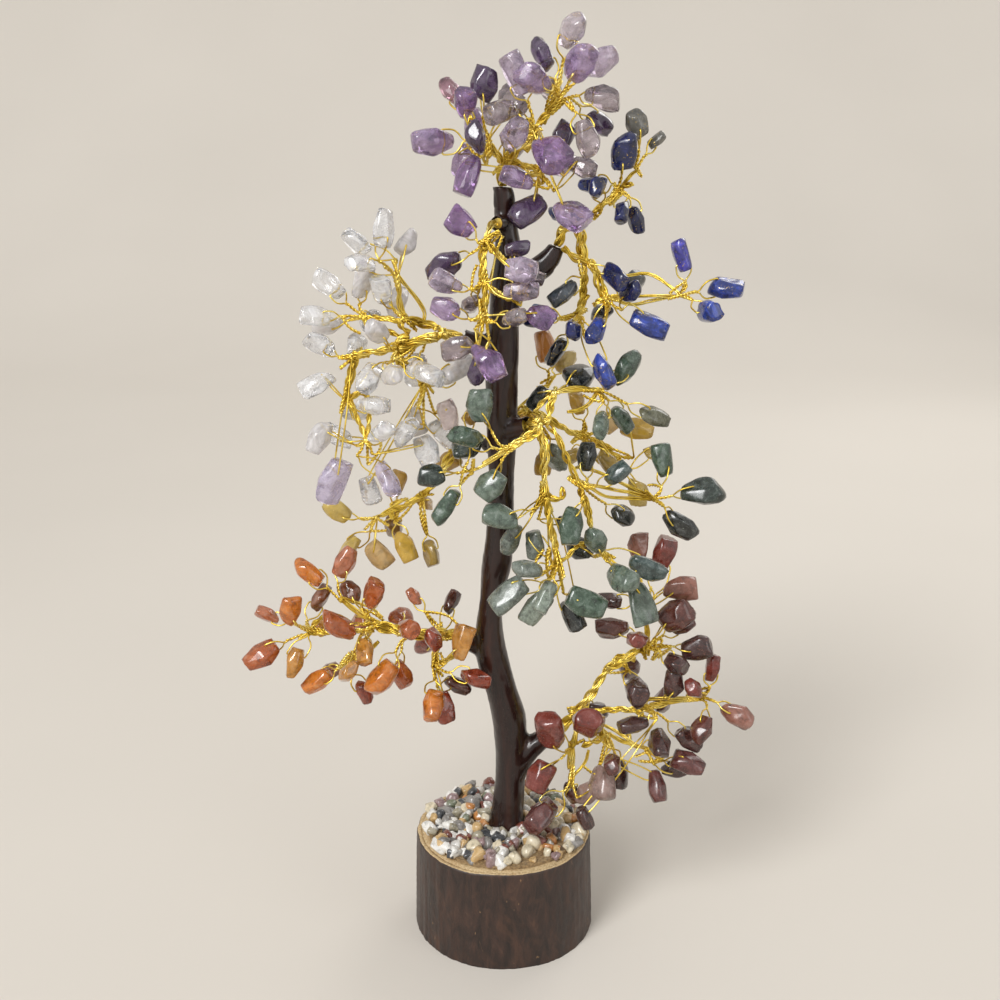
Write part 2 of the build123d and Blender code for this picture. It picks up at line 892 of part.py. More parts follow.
def chip_corners(twig, pose):
    """Corners of a tumbled chip: three uneven rings, narrow at both ends."""
    *_, drilled, along = pose
    length, width, thickness = twig.half
    sideways = np.cross(drilled, along)
    middle = CHIP_SPREAD * (2 * wobble(twig.seed, 3) - 1)
    inner_end = CHIP_INNER_END * scatter(twig.seed, 10, CHIP_END_SCATTER)
    outer_end = CHIP_OUTER_END * scatter(twig.seed, 11, CHIP_END_SCATTER)
    rings = ((-1.0, inner_end), (middle, 1.0), (1.0, outer_end))
    corners = []
    for level, (share, taper) in enumerate(rings):
        lean = CHIP_SPREAD * width * (2 * wobble(twig.seed, 4 + level) - 1) * abs(share)
        for corner in range(CHIP_CORNERS):
            place_in_ring = corner + level / 2 + CHIP_TWIST * wobble(twig.seed, corner)
            turn = 2 * math.pi * place_in_ring / CHIP_CORNERS
            reach = taper * (1 - CHIP_SPREAD * wobble(twig.seed, 3 * corner + level))
            corners.append(
                twig.centre
                + along * length * share
                + sideways * (width * reach * math.cos(turn) + lean)
                + drilled * thickness * reach * math.sin(turn)
            )
    return corners


def loop_route(twig, pose):
    """Corners of the bare wire from the end of a twig, round the thickness of a chip and through its hole."""
    _, end, hole, toward, drilled, _ = pose
    inner = WIRE_DIAMETER / 2
    outer = twig.half[2] + WIRE_DIAMETER / 2 + LOOP_GAP
    one_side = [
        end + drilled * inner,
        end + drilled * inner + toward * LOOP_NECK,
        end + drilled * outer + toward * (LOOP_NECK + LOOP_SHOULDER),
        hole + drilled * outer,
    ]
    other_side = [point - 2 * drilled * ((point - hole) @ drilled) for point in reversed(one_side)]
    return one_side + other_side


def even_directions():
    """Unit vectors spread evenly over a ball: those that point up, then their opposites."""
    steps = np.arange(HALF_DIRECTIONS)
    up = (steps + 0.5) / HALF_DIRECTIONS
    flat = np.sqrt(1 - up**2)
    turn = steps * GOLDEN_ANGLE
    upper = np.column_stack((flat * np.cos(turn), flat * np.sin(turn), up))
    return np.concatenate((upper, -upper))


def route_points(route, spacing):
    points = []
    for start, end in zip(route, route[1:]):
        steps = max(1, int(np.linalg.norm(end - start) / spacing))
        points += [start + (end - start) * step / steps for step in range(steps)]
    return points + [route[-1]]


def fixed_balls(stems):
    """Centres, radii and branch numbers of the balls that stand for the stem and the bundles."""
    balls = []
    for height in np.arange(0.0, TRUNK_STATIONS[-1][0], TRUNK_SAMPLE):
        balls.append((trunk_point(height), trunk_radius(height) + TRUNK_GAP, -1))
    for branch in BRANCHES:
        if branch.stub.length == 0:
            continue
        radius = bore_radius(branch) + STUB_WALL + TRUNK_GAP
        for share in np.linspace(STUB_CLEAR_FROM, 1.0, STUB_SECTIONS):
            balls.append((stub_frame(branch.stub, share)[0], radius, -1))
    for stem in stems:
        balls += [(point, stem.radius, stem.branch) for point in route_points(stem.route, STEM_SAMPLE)]
    centres, radii, owners = zip(*balls)
    return np.array(centres), np.array(radii), np.array(owners)


def needed_gap(owners, other_owners):
    """Room between two pieces: little within a branch, more where branches bend past each other."""
    gap = np.where(owners == other_owners, CHIP_GAP, BRANCH_GAP)
    return np.where(other_owners < 0, 0.0, gap)


def shortest_push(gaps, needed, directions):
    """Shortest move that gives each pair its room, and how much room is missing."""
    best = gaps.argmax(axis=1)
    missing = np.clip(needed - gaps[np.arange(len(best)), best], 0.0, None)
    return missing[:, None] * directions[best], missing


def settle(stems, twigs):
    """Moves chips with their loops apart, and off wires, stem and gravel, until each has its room."""
    fixed, fixed_radii, fixed_owners = fixed_balls(stems)
    directions = even_directions()
    owners = np.array([twig.branch for twig in twigs])
    floor = LOG_HEIGHT + GLUE_THICKNESS + PEBBLE_HEIGHT + BRANCH_GAP
    for _ in range(SETTLE_ROUNDS):
        poses = [hang(twig) for twig in twigs]
        chips = np.array([chip_corners(twig, pose) for twig, pose in zip(twigs, poses)])
        loops = np.array([loop_route(twig, pose) for twig, pose in zip(twigs, poses)])
        highest = np.maximum(
            (chips @ directions.T).max(axis=1), (loops @ directions.T).max(axis=1) + WIRE_DIAMETER / 2
        )
        lowest = -np.roll(highest, HALF_DIRECTIONS, axis=1)
        centres = chips.mean(axis=1)
        sizes = np.linalg.norm(np.concatenate((chips, loops), axis=1) - centres[:, None], axis=2).max(axis=1)
        apart = np.linalg.norm(centres[:, None] - centres[None], axis=2)
        one, two = np.nonzero(np.triu(apart < sizes[:, None] + sizes[None] + BRANCH_GAP, 1))
        push, chip_missing = shortest_push(
            lowest[two] - highest[one], needed_gap(owners[one], owners[two]), directions
        )
        moves = np.zeros((len(twigs), 3))
        np.add.at(moves, one, -push / 2)
        np.add.at(moves, two, push / 2)

        wires = []
        wire_chips = []
        for number, (twig, (corner, end, *_)) in enumerate(zip(twigs, poses)):
            points = route_points([twig.slot, corner, end], TWIG_SAMPLE)
            wires += points
            wire_chips += [number] * len(points)
        points = np.concatenate((wires, fixed))
        radii = np.concatenate((np.full(len(wires), WIRE_DIAMETER), fixed_radii))
        point_owners = np.concatenate((owners[wire_chips], fixed_owners))
        point_chips = np.concatenate((wire_chips, np.full(len(fixed), -1)))
        apart = np.linalg.norm(centres[:, None] - points[None], axis=2)
        near = apart < sizes[:, None] + radii[None] + BRANCH_GAP
        one, two = np.nonzero(near & (point_chips[None] != np.arange(len(twigs))[:, None]))
        gaps = points[two] @ directions.T - highest[one] - radii[two][:, None]
        push, wire_missing = shortest_push(gaps, needed_gap(owners[one], point_owners[two]), directions)
        np.add.at(moves, one, -SETTLE_SHARE * push)

        over_log = np.hypot(centres[:, 0], centres[:, 1]) < LOG_FOOT_DIAMETER / 2 + sizes
        bottom = np.minimum(chips[:, :, 2].min(axis=1), loops[:, :, 2].min(axis=1) - WIRE_DIAMETER / 2)
        moves[:, 2] += np.where(over_log, np.clip(floor - bottom, 0.0, None), 0.0)
        for twig, (corner, end, *_), move in zip(twigs, poses, moves):
            size = np.linalg.norm(move)
            if size > 0:
                twig.centre = twig.centre + move * min(1.0, SETTLE_STEP / size)
            short = TWIG_LEAD - (end - corner) @ unit(twig.centre - corner)
            if short > 0:
                twig.centre = twig.centre + unit(twig.centre - corner) * short
        deepest = max(chip_missing.max(), wire_missing.max())
        if deepest < SETTLE_TOLERANCE:
            break
    print("least room missed by", round(float(deepest), 2), "mm")


# Solids of the wire branches


def bend_radii(points):
    """Radius for each corner of a bent wire, as large as its runs allow: two corners share a run."""
    runs = [np.linalg.norm(after - here) for here, after in zip(points, points[1:])]
    room = [run / 2 for run in runs]
    room[0] = runs[0]
    room[-1] = runs[-1]
    if len(runs) == 2:
        room = runs
    radii = []
    for number, (before, here, after) in enumerate(zip(points, points[1:], points[2:])):
        turn = math.acos(np.clip(unit(here - before) @ unit(after - here), -1.0, 1.0))
        radii.append(BEND_SHARE * min(room[number], room[number + 1]) / math.tan(turn / 2))
    return radii


def without_straight_corners(points):
    kept = [points[0]]
    for here, after in zip(points[1:], points[2:]):
        if unit(here - kept[-1]) @ unit(after - here) < math.cos(math.radians(STRAIGHT_TURN)):
            kept.append(here)
    return kept + [points[-1]]


def make_wire(points, radius, widest_bend=math.inf):
    points = without_straight_corners(points)
    corners = [tuple(point) for point in points]
    section = plane_at(points[0], unit(points[1] - points[0])) * Circle(radius)
    if len(corners) == 2:
        return extrude(section, np.linalg.norm(points[1] - points[0])).solid()
    bends = [min(bend, widest_bend) for bend in bend_radii(points)]
    if min(bends) < radius:
        print("bend tighter than its wire", round(min(bends), 2), radius)
    return sweep(section, path=FilletPolyline(*corners, radius=bends)).solid()


def make_stem(stem):
    tube = make_wire(stem.route, stem.radius)
    end = stem.route[-1]
    arriving = unit(end - stem.route[-2])
    extras = []
    if stem.flare > stem.radius:
        flare_plane = plane_at(end - arriving * FLARE_LENGTH, arriving)
        extras.append(Solid.make_cone(FLARE_START * stem.radius, stem.flare, FLARE_LENGTH, flare_plane))
    if stem.is_first:
        extras.append(Solid.make_sphere(stem.radius, plane_at(stem.route[0], UP), -90, 90, 360))
    return tube.fuse(*extras).solid() if extras else tube


def make_twig(twig):
    corner, end = hang(twig)[:2]
    return make_wire([twig.slot, corner, end], WIRE_DIAMETER)


def make_loop(twig):
    return make_wire(loop_route(twig, hang(twig)), WIRE_DIAMETER / 2, LOOP_BEND)


def make_chip(twig):
    """Tumbled chip, drilled near its inner end."""
    pose = hang(twig)
    _, _, hole, _, drilled, _ = pose
    thickness = twig.half[2]
    chip = ConvexPolyhedron([tuple(corner) for corner in chip_corners(twig, pose)]).solid()
    drill = plane_at(hole - drilled * 2 * thickness, drilled)
    return chip.cut(Solid.make_cylinder(HOLE_DIAMETER / 2, 4 * thickness, drill)).solid()


def make_branches():
    """Bundles, twigs, loops and chips of every branch, by node name."""
    stems = []
    twigs = []
    for number, branch in enumerate(BRANCHES):
        mouth, outward = stub_frame(branch.stub, 1.0)
        grow(number, branch.fork, mouth, mouth, outward, stems, twigs)
    settle(stems, twigs)
    nodes = {}
    for number, branch in enumerate(BRANCHES):
        own_twigs = [twig for twig in twigs if twig.branch == number]
        nodes[f"{branch.name}_stems"] = [make_stem(stem) for stem in stems if stem.branch == number]
        nodes[f"{branch.name}_twigs"] = [make_twig(twig) for twig in own_twigs]
        nodes[f"{branch.name}_loops"] = [make_loop(twig) for twig in own_twigs]
        nodes[f"{branch.name}_chips"] = [make_chip(twig) for twig in own_twigs]
    return nodes


def main():
    nodes = {
        "log_core": [make_log_core()],
        "log_bark": [make_bark()],
        "glue_bed": [make_glue_bed()],
        "trunk": [make_trunk()],
        "wire_roots": make_wire_roots(),
    }
    nodes.update({f"gravel_{colour}": pebbles for colour, pebbles in make_gravel().items()})
    nodes.update(make_branches())
    os.makedirs("parts", exist_ok=True)
    for name, solids in nodes.items():
        shape = solids[0] if len(solids) == 1 else Compound(children=solids)
        shape.label = name
        export_step(shape, f"parts/{name}.step")
        print(name, len(solids))


if __name__ == "__main__":
    main()
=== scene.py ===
import json
import math

import bmesh
import bpy
import numpy as np
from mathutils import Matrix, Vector, noise
from mathutils.bvhtree import BVHTree


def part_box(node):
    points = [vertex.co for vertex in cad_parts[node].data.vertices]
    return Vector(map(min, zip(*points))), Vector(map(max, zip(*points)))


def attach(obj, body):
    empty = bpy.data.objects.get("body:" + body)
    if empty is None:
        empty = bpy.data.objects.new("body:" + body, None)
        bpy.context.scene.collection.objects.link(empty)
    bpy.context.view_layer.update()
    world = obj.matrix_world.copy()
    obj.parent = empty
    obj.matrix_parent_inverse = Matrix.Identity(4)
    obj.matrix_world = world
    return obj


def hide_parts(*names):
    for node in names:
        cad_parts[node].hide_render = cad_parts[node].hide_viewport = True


# Looks of a gemstone tree: polished stones, twisted wire, lacquered stem, bark and gravel, each built
# around the solid of the frame that it stands for. Lengths are in metres.
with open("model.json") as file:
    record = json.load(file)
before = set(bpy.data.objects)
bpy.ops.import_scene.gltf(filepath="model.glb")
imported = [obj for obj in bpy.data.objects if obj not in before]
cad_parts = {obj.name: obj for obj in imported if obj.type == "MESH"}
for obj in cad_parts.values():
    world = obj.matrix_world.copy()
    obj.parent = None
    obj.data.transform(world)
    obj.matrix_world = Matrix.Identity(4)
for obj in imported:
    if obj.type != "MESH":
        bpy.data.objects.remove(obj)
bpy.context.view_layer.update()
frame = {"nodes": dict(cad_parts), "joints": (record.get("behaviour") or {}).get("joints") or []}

MM = 0.001
WELD_DIGITS = 6
FLAT_TOLERANCE = 0.01 * MM

# Camera at the photograph's viewing angle
CAMERA_PLACE = (-1.5 * MM, -400 * MM, 275.9 * MM)
CAMERA_PITCH = 16.97
CAMERA_LENS = 46.9
SENSOR_WIDTH = 36.0

# Strength of the pale surroundings as light, and as seen in metal and glass
AMBIENT_LIGHT = 0.45
AMBIENT_SEEN = 0.85

# Stones
STONE_DETAIL = 4
CUTS = (4, 9)
CUT_SHARE = (0.54, 0.88)
LUMP_SCALE = 1.6
RIPPLE_SCALE = 5.0
STONE_LUMPS = (0.06, 0.015)
DENT_DEPTH = 0.06
DENT_WIDTH = 0.42
WEDGE = 0.18
SWELL = 1.1
LIMIT = 1.05
LIMIT_SHARPNESS = 14.0
PALE_VEIL = 225

# Wire
WIRE_RADIUS = 0.27 * MM
WIRE_SIDES = 6
WIRE_STEP = 0.24 * MM
PAIR_PITCH = 2.6 * MM
MERGE_REACH = 0.3 * MM
STUB_REACH = 3.0 * MM
TAIL_LENGTH = 2.4 * MM
TAIL_SHARE = 0.5
ROPE_STEP = 0.45 * MM
ROPE_SHARE = 0.88
ROPE_PITCH = 9.0
STRAND_PITCH = 11.0
STRAND_SHARES = {1: 1.0, 2: 0.5, 3: 0.46}
TWO_STRANDS_FROM = 0.8 * MM
THREE_STRANDS_FROM = 1.6 * MM
WANDER = 0.12
WANDER_LENGTH = 1.6 * MM
ROOT_LENGTH = 2.4 * MM
ROOT_SHARE = 0.3
# How a wire leaves its bundle: distance before the bundle's end, and share of its way out
PARTING = ((5.0 * MM, 0.4), (2.4 * MM, 0.8))

# Stem, log and gravel
TRUNK_VOXEL = 0.55 * MM
TRUNK_LUMPS = 0.75 * MM
TRUNK_RIDGES = 0.32 * MM
TRUNK_PITS = 0.08 * MM
TRUNK_TRIM = 0.3 * MM
BARK_SEGMENTS = 288
BARK_LEVELS = 60
RIM_RINGS = 14
RIM_RISE = 0.5 * MM
SAND_HEIGHT = 0.25 * MM
LOG_TAPER = 1.0 * MM
CORE_HOLLOW = 6.0 * MM
PEBBLE_SHARPNESS = 14.0
PEBBLE_SWELL = (0.85, 1.15)
FILL_PEBBLES = 230
FILL_SIZE = (1.1 * MM, 2.4 * MM)
FILL_FLATNESS = (0.45, 1.1)
FILL_REACH = 1.03
FOOT_PEBBLES = 30

BRANCHES = [joint["child"] for joint in frame["joints"]]
MOUTHS = {joint["child"]: np.array(joint["pos_m"]) for joint in frame["joints"]}

# Colours by tone name, as red, green and blue out of 255
AMETHYST = {
    "clear": (224, 214, 224),
    "pale": (206, 190, 212),
    "lilac": (188, 164, 202),
    "violet": (160, 126, 176),
    "dark": (86, 66, 98),
    "smoky": (180, 166, 172),
    "rose": (170, 126, 142),
}
LAPIS = {
    "navy": (22, 29, 72),
    "bright": (36, 53, 122),
    "violet": (58, 55, 134),
    "black": (18, 21, 32),
    "slate": (60, 66, 72),
    "pale": (112, 124, 148),
    "grey": (92, 90, 84),
}
QUARTZ = {
    "clear": (244, 244, 246),
    "milky": (236, 233, 234),
    "pink": (232, 216, 214),
    "lilac": (214, 204, 226),
}
AVENTURINE = {
    "sage": (100, 116, 102),
    "green": (62, 82, 66),
    "teal": (60, 76, 74),
    "dark": (36, 48, 42),
    "black": (24, 28, 26),
    "grey": (128, 138, 128),
    "pale": (150, 162, 148),
    "olive": (86, 86, 64),
}
YELLOW = {
    "amber": (190, 148, 58),
    "bright": (210, 170, 66),
    "pale": (206, 178, 92),
    "olive": (168, 140, 66),
    "peach": (214, 180, 122),
    "orange": (202, 130, 56),
    "dark": (140, 100, 36),
}
CARNELIAN = {
    "orange": (224, 132, 46),
    "amber": (218, 154, 66),
    "rust": (190, 98, 46),
    "red": (158, 64, 36),
    "rose": (202, 122, 84),
    "brown": (124, 70, 42),
    "dark": (76, 38, 28),
}
JASPER = {
    "red": (112, 44, 34),
    "brown": (88, 44, 36),
    "dark": (60, 34, 31),
    "pink": (142, 94, 80),
    "plum": (92, 50, 47),
    "grey": (140, 116, 108),
}

# Tone of each stone of a branch, from the highest stone down
STONE_TONES = {
    "amethyst_crown": """clear dark lilac pale pale lilac dark smoky rose smoky violet smoky smoky
        dark violet pale dark dark smoky lilac smoky violet lilac pale smoky violet lilac dark lilac""",
    "amethyst_drop": """violet dark pale dark smoky pale pale smoky lilac smoky violet smoky violet
        clear dark""",
    "lapis": """grey grey navy bright navy navy bright navy violet navy slate bright navy slate bright
        pale black bright navy navy bright black bright""",
    "quartz": """clear clear milky clear milky clear clear milky clear milky clear milky clear clear
        milky clear milky clear clear clear clear pink clear clear milky clear milky clear clear clear
        lilac lilac clear""",
    "aventurine": """green black sage black olive sage green green dark grey black green dark teal
        sage dark green sage green black dark black sage grey grey grey black sage teal pale grey green
        sage pale black""",
    "yellow_left": "amber amber amber pale amber dark bright pale peach olive",
    "yellow_right": "orange pale amber peach amber bright pale olive amber pale pale",
    "carnelian": """rose orange rust orange brown brown rose rust rust rose dark red rust amber rose
        amber amber rust amber amber red orange red rust orange brown orange dark red red""",
    "jasper": """pink red pink dark brown red brown brown dark dark red dark red dark brown red dark
        red pink brown brown dark dark dark brown plum red grey dark dark plum grey brown plum dark""",
}


# Shapes read from the frame


def solids_of(node):
    """Welded points and triangles of each closed solid of a CAD node."""
    mesh = frame["nodes"][node].data
    mesh.calc_loop_triangles()
    places = np.empty(3 * len(mesh.vertices), np.float32)
    mesh.vertices.foreach_get("co", places)
    corners = np.empty(3 * len(mesh.loop_triangles), np.int32)
    mesh.loop_triangles.foreach_get("vertices", corners)
    rounded = np.round(places.reshape(-1, 3).astype(float), WELD_DIGITS)
    points, index = np.unique(rounded, axis=0, return_inverse=True)
    triangles = index.reshape(-1)[corners].reshape(-1, 3)
    label = np.arange(len(points))
    while True:
        spread = label.copy()
        np.minimum.at(spread, triangles.ravel(), np.repeat(label[triangles].min(axis=1), 3))
        spread = spread[spread]
        if np.array_equal(spread, label):
            break
        label = spread
    owner = label[triangles[:, 0]]
    solids = []
    for value in np.unique(owner):
        used, local = np.unique(triangles[owner == value], return_inverse=True)
        solids.append((points[used], local.reshape(-1, 3)))
    return solids


def unit(vectors):
    return vectors / np.linalg.norm(vectors, axis=-1, keepdims=True)


def facets(points, triangles):
    """Centre, normal and area of each triangle that has an area."""
    one, two, three = (points[triangles[:, corner]] for corner in range(3))
    cross = np.cross(two - one, three - one)
    area = np.linalg.norm(cross, axis=1) / 2
    kept = area > 0
    return ((one + two + three) / 3)[kept], unit(cross[kept]), area[kept]


def chip_form(points, triangles):
    """Outer planes of a drilled chip, its centre, and a point and the direction of its hole."""
    centres, normals, area = facets(points, triangles)
    heights = (centres * normals).sum(axis=1)
    outer = (normals @ points.T).max(axis=1) - heights < FLAT_TOLERANCE
    planes = np.unique(np.round(np.column_stack((normals, heights))[outer], 5), axis=0)
    centre = np.average(centres[outer], axis=0, weights=area[outer])
    if outer.all():
        return planes, centre, None, None
    wall = normals[~outer]
    _, directions = np.linalg.eigh((wall * area[~outer, None]).T @ wall)
    hole = np.average(centres[~outer], axis=0, weights=area[~outer])
    return planes, centre, hole, directions[:, 0]


def middle_line(points, triangles, start=None):
    """Points along the middle of a bent tube from one end to the other, and its radius."""
    tree = BVHTree.FromPolygons(points.tolist(), triangles.tolist())
    centres, normals, area = facets(points, triangles)
    across = np.zeros(len(centres))
    for number, (centre, normal) in enumerate(zip(centres, normals)):
        inward = Vector(-normal)
        hit = tree.ray_cast(Vector(centre) + inward * FLAT_TOLERANCE, inward)
        across[number] = hit[3] or 0.0
    radius = np.median(np.repeat(across, np.maximum(1, area / area.mean()).astype(int))) / 2
    on_tube = np.abs(across / 2 - radius) < 0.12 * radius
    middles = (centres - normals * across[:, None] / 2)[on_tube]
    planes = np.round(np.column_stack((normals, (centres * normals).sum(axis=1) / MM)), 2)
    groups, member = np.unique(planes[~on_tube], axis=0, return_inverse=True)
    member = member.reshape(-1)
    sizes = np.bincount(member, weights=area[~on_tube])
    caps = []
    for group in np.argsort(-sizes)[: 1 if start is not None else 2]:
        own = member == group
        caps.append(np.average(centres[~on_tube][own], axis=0, weights=area[~on_tube][own]))
    if start is not None:
        caps.insert(0, start)
    return chain(caps[0], middles, caps[1]), radius


def chain(start, middles, end):
    """A route from start to end through middle points, nearest first."""
    route = [start]
    left = middles[np.linalg.norm(middles - end, axis=1) > MERGE_REACH]
    while len(left):
        nearest = left[np.linalg.norm(left - route[-1], axis=1).argmin()]
        near = np.linalg.norm(left - nearest, axis=1) < MERGE_REACH
        place = left[near].mean(axis=0)
        if np.linalg.norm(place - route[-1]) > MERGE_REACH:
            route.append(place)
        left = left[~near]
    return np.array(route + [end])


# Mesh building


class Build:
    """Collects points, faces and a material number for each face of one piece."""

    def __init__(self):
        self.points = []
        self.faces = []
        self.tones = []
        self.count = 0

    def add(self, points, faces, tone=0):
        self.points.append(points)
        self.faces.append(np.asarray(faces) + self.count)
        self.tones.append(np.full(len(faces), tone))
        self.count += len(points)

    def piece(self, name, body, slot, materials, replaced=()):
        mesh = bpy.data.meshes.new(name)
        faces = [face for group in self.faces for face in group.tolist()]
        mesh.from_pydata(np.concatenate(self.points).tolist(), [], faces)
        mesh.polygons.foreach_set("use_smooth", np.ones(len(faces), bool))
        mesh.polygons.foreach_set("material_index", np.concatenate(self.tones).astype(np.int32))
        for material in materials:
            mesh.materials.append(material)
        mesh.update()
        piece = bpy.data.objects.new(name, mesh)
        bpy.context.scene.collection.objects.link(piece)
        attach(piece, body)
        if replaced:
            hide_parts(*replaced)
        return piece


def ball_directions(detail):
    """Points and triangles of a unit ball."""
    ball = bmesh.new()
    bmesh.ops.create_icosphere(ball, subdivisions=detail, radius=1.0)
    points = np.array([vertex.co for vertex in ball.verts])
    triangles = np.array([[vertex.index for vertex in face.verts] for face in ball.faces])
    ball.free()
    return points, triangles


def tumbled(directions, planes, centre, softness, rng):
    """Reach in each direction of a broken, wedge-like, rounded polyhedron, and of the sharp one."""
    depths = planes[:, 3] - planes[:, :3] @ centre
    slopes = planes[:, :3] / depths[:, None]
    sharp = 1.0 / (directions @ slopes.T).max(axis=1)
    cuts = unit(rng.normal(size=(rng.integers(*CUTS), 3)))
    reaches = ((directions * sharp[:, None]) @ cuts.T).max(axis=0)
    cut_slopes = cuts / (reaches * rng.uniform(*CUT_SHARE, len(cuts)))[:, None]
    share = np.clip(directions @ np.concatenate((slopes, cut_slopes)).T, 0.0, None)
    rounded = (share**softness).sum(axis=1) ** (-1.0 / softness)
    rounded = rounded * (1.0 - WEDGE * (directions @ unit(rng.normal(size=3))))
    return rounded * SWELL * sharp.mean() / rounded.mean(), sharp


def kept_inside(reach, sharp):
    """Reach that comes smoothly to a stop at the sharp form."""
    limit = LIMIT * sharp
    return (reach**-LIMIT_SHARPNESS + limit**-LIMIT_SHARPNESS) ** (-1.0 / LIMIT_SHARPNESS)


def uneven(directions, seed, coarse, fine):
    """Factor about 1 for each direction, from soft lumps and small ripples."""
    shift = Vector((seed * 1.7, seed * 0.9, seed * 2.3))
    factors = np.empty(len(directions))
    for number, direction in enumerate(directions):
        place = Vector(direction)
        lumps = coarse * noise.noise(place * LUMP_SCALE + shift)
        ripples = fine * noise.noise(place * RIPPLE_SCALE + shift)
        factors[number] = 1.0 + lumps + ripples
    return factors


def dented(directions, rng, depth):
    """Factor for each direction, with one or two shallow hollows where flakes have come off."""
    factors = np.ones(len(directions))
    for _ in range(rng.integers(1, 3)):
        spot = unit(rng.normal(size=3))
        apart = np.arccos(np.clip(directions @ spot, -1.0, 1.0))
        factors -= depth * np.exp(-((apart / DENT_WIDTH) ** 2))
    return factors


def resample(route, step):
    """Evenly spaced points along a route."""
    lengths = np.concatenate(([0.0], np.cumsum(np.linalg.norm(np.diff(route, axis=0), axis=1))))
    places = np.linspace(0.0, lengths[-1], max(4, int(lengths[-1] / step)))
    return np.column_stack([np.interp(places, lengths, route[:, axis]) for axis in range(3)]), places


def smoothed(route, rounds):
    """Route with its corners cut, ends kept."""
    for _ in range(rounds):
        quarter = route[:-1] * 0.75 + route[1:] * 0.25
        three_quarters = route[:-1] * 0.25 + route[1:] * 0.75
        inner = np.stack((quarter, three_quarters), axis=1).reshape(-1, 3)
        route = np.concatenate((route[:1], inner, route[-1:]))
    return route


def carried_frames(path):
    """Directions along a path, with two more square to them that turn as little as possible."""
    along = unit(np.gradient(path, axis=0))
    helper = np.eye(3)[np.abs(along[0]).argmin()]
    side = unit(np.cross(along[0], helper))
    sides = np.empty_like(path)
    for number, direction in enumerate(along):
        side = side - direction * (side @ direction)
        side = side / np.linalg.norm(side)
        sides[number] = side
    return along, sides, np.cross(along, sides)


def add_tube(build, path, radius, sides=WIRE_SIDES, tone=0):
    """Closed round wire along a path."""
    _, first, second = carried_frames(path)
    turns = np.linspace(0.0, 2 * math.pi, sides, endpoint=False)
    rings = path[:, None, :] + radius * (
        np.cos(turns)[None, :, None] * first[:, None, :] + np.sin(turns)[None, :, None] * second[:, None, :]
    )
    here = np.arange(len(path) - 1)[:, None] * sides + np.arange(sides)[None, :]
    beside = np.arange(len(path) - 1)[:, None] * sides + (np.arange(sides)[None, :] + 1) % sides
    quads = np.stack((here, beside, beside + sides, here + sides), axis=2).reshape(-1, 4)
    points = np.concatenate((rings.reshape(-1, 3), path[:1], path[-1:]))
    last = (len(path) - 1) * sides
    ring = np.arange(sides)
    after = (ring + 1) % sides
    start_cap = np.column_stack((after, ring, np.full(sides, len(points) - 2)))
    end_cap = np.column_stack((last + ring, last + after, np.full(sides, len(points) - 1)))
    base = build.count
    build.points.append(points)
    for faces in (quads, start_cap, end_cap):
        build.faces.append(faces + base)
        build.tones.append(np.full(len(faces), tone))
    build.count += len(points)


# Materials


def colour(values, light=1.0):
    """Linear colour of a tone, made lighter or darker by a factor."""
    shares = [min(1.0, value / 255 * light) for value in values]
    linear = [((share + 0.055) / 1.055) ** 2.4 if share > 0.04045 else share / 12.92 for share in shares]
    return (*linear, 1.0)


class Look:
    """Short way to build the nodes of one material."""

    def __init__(self, name, **values):
        self.material = bpy.data.materials.new(name)
        self.material.use_nodes = True
        self.nodes = self.material.node_tree.nodes
        self.links = self.material.node_tree.links
        self.surface = self.nodes["Principled BSDF"]
        self.place = self.nodes.new("ShaderNodeTexCoord").outputs["Object"]
        for socket, value in values.items():
            self.surface.inputs[socket.replace("_", " ")].default_value = value

    def join(self, output, socket):
        self.links.new(output, self.surface.inputs[socket])

    def stretched(self, scale):
        """Object coordinates scaled on each axis."""
        node = self.nodes.new("ShaderNodeMapping")
        node.inputs["Scale"].default_value = scale
        self.links.new(self.place, node.inputs["Vector"])
        return node.outputs["Vector"]

    def noise(self, scale, detail=4.0, rough=0.55, place=None, twist=0.0):
        node = self.nodes.new("ShaderNodeTexNoise")
        values = {"Scale": scale, "Detail": detail, "Roughness": rough, "Distortion": twist}
        for socket, value in values.items():
            node.inputs[socket].default_value = value
        self.links.new(place or self.place, node.inputs["Vector"])
        return node.outputs["Fac"]

    def ramp(self, factor, *stops):
        """Colours at places from 0 to 1."""
        node = self.nodes.new("ShaderNodeValToRGB")
        elements = node.color_ramp.elements
        while len(elements) < len(stops):
            elements.new(0.5)
        for element, (place, value) in zip(elements, stops):
            element.position = place
            element.color = value
        self.links.new(factor, node.inputs["Fac"])
        return node.outputs["Color"]

    def between(self, factor, low, high, start=0.3, end=0.7):
        """A number from low to high as the factor goes from start to end."""
        node = self.nodes.new("ShaderNodeMapRange")
        for socket, value in (("From Min", start), ("From Max", end), ("To Min", low), ("To Max", high)):
            node.inputs[socket].default_value = value
        self.links.new(factor, node.inputs["Value"])
        return node.outputs["Result"]

    def mixed(self, factor, one, two):
        node = self.nodes.new("ShaderNodeMix")
        node.data_type = "RGBA"
        self.links.new(factor, node.inputs["Factor"])
        for socket, value in (("A", one), ("B", two)):
            target = [entry for entry in node.inputs if entry.name == socket and entry.type == "RGBA"][0]
            if isinstance(value, tuple):
                target.default_value = value
            else:
                self.links.new(value, target)
        return [entry for entry in node.outputs if entry.type == "RGBA"][0]

    def bump(self, height, strength, distance):
        node = self.nodes.new("ShaderNodeBump")
        node.inputs["Strength"].default_value = strength
        node.inputs["Distance"].default_value = distance
        self.links.new(height, node.inputs["Height"])
        self.join(node.outputs["Normal"], "Normal")


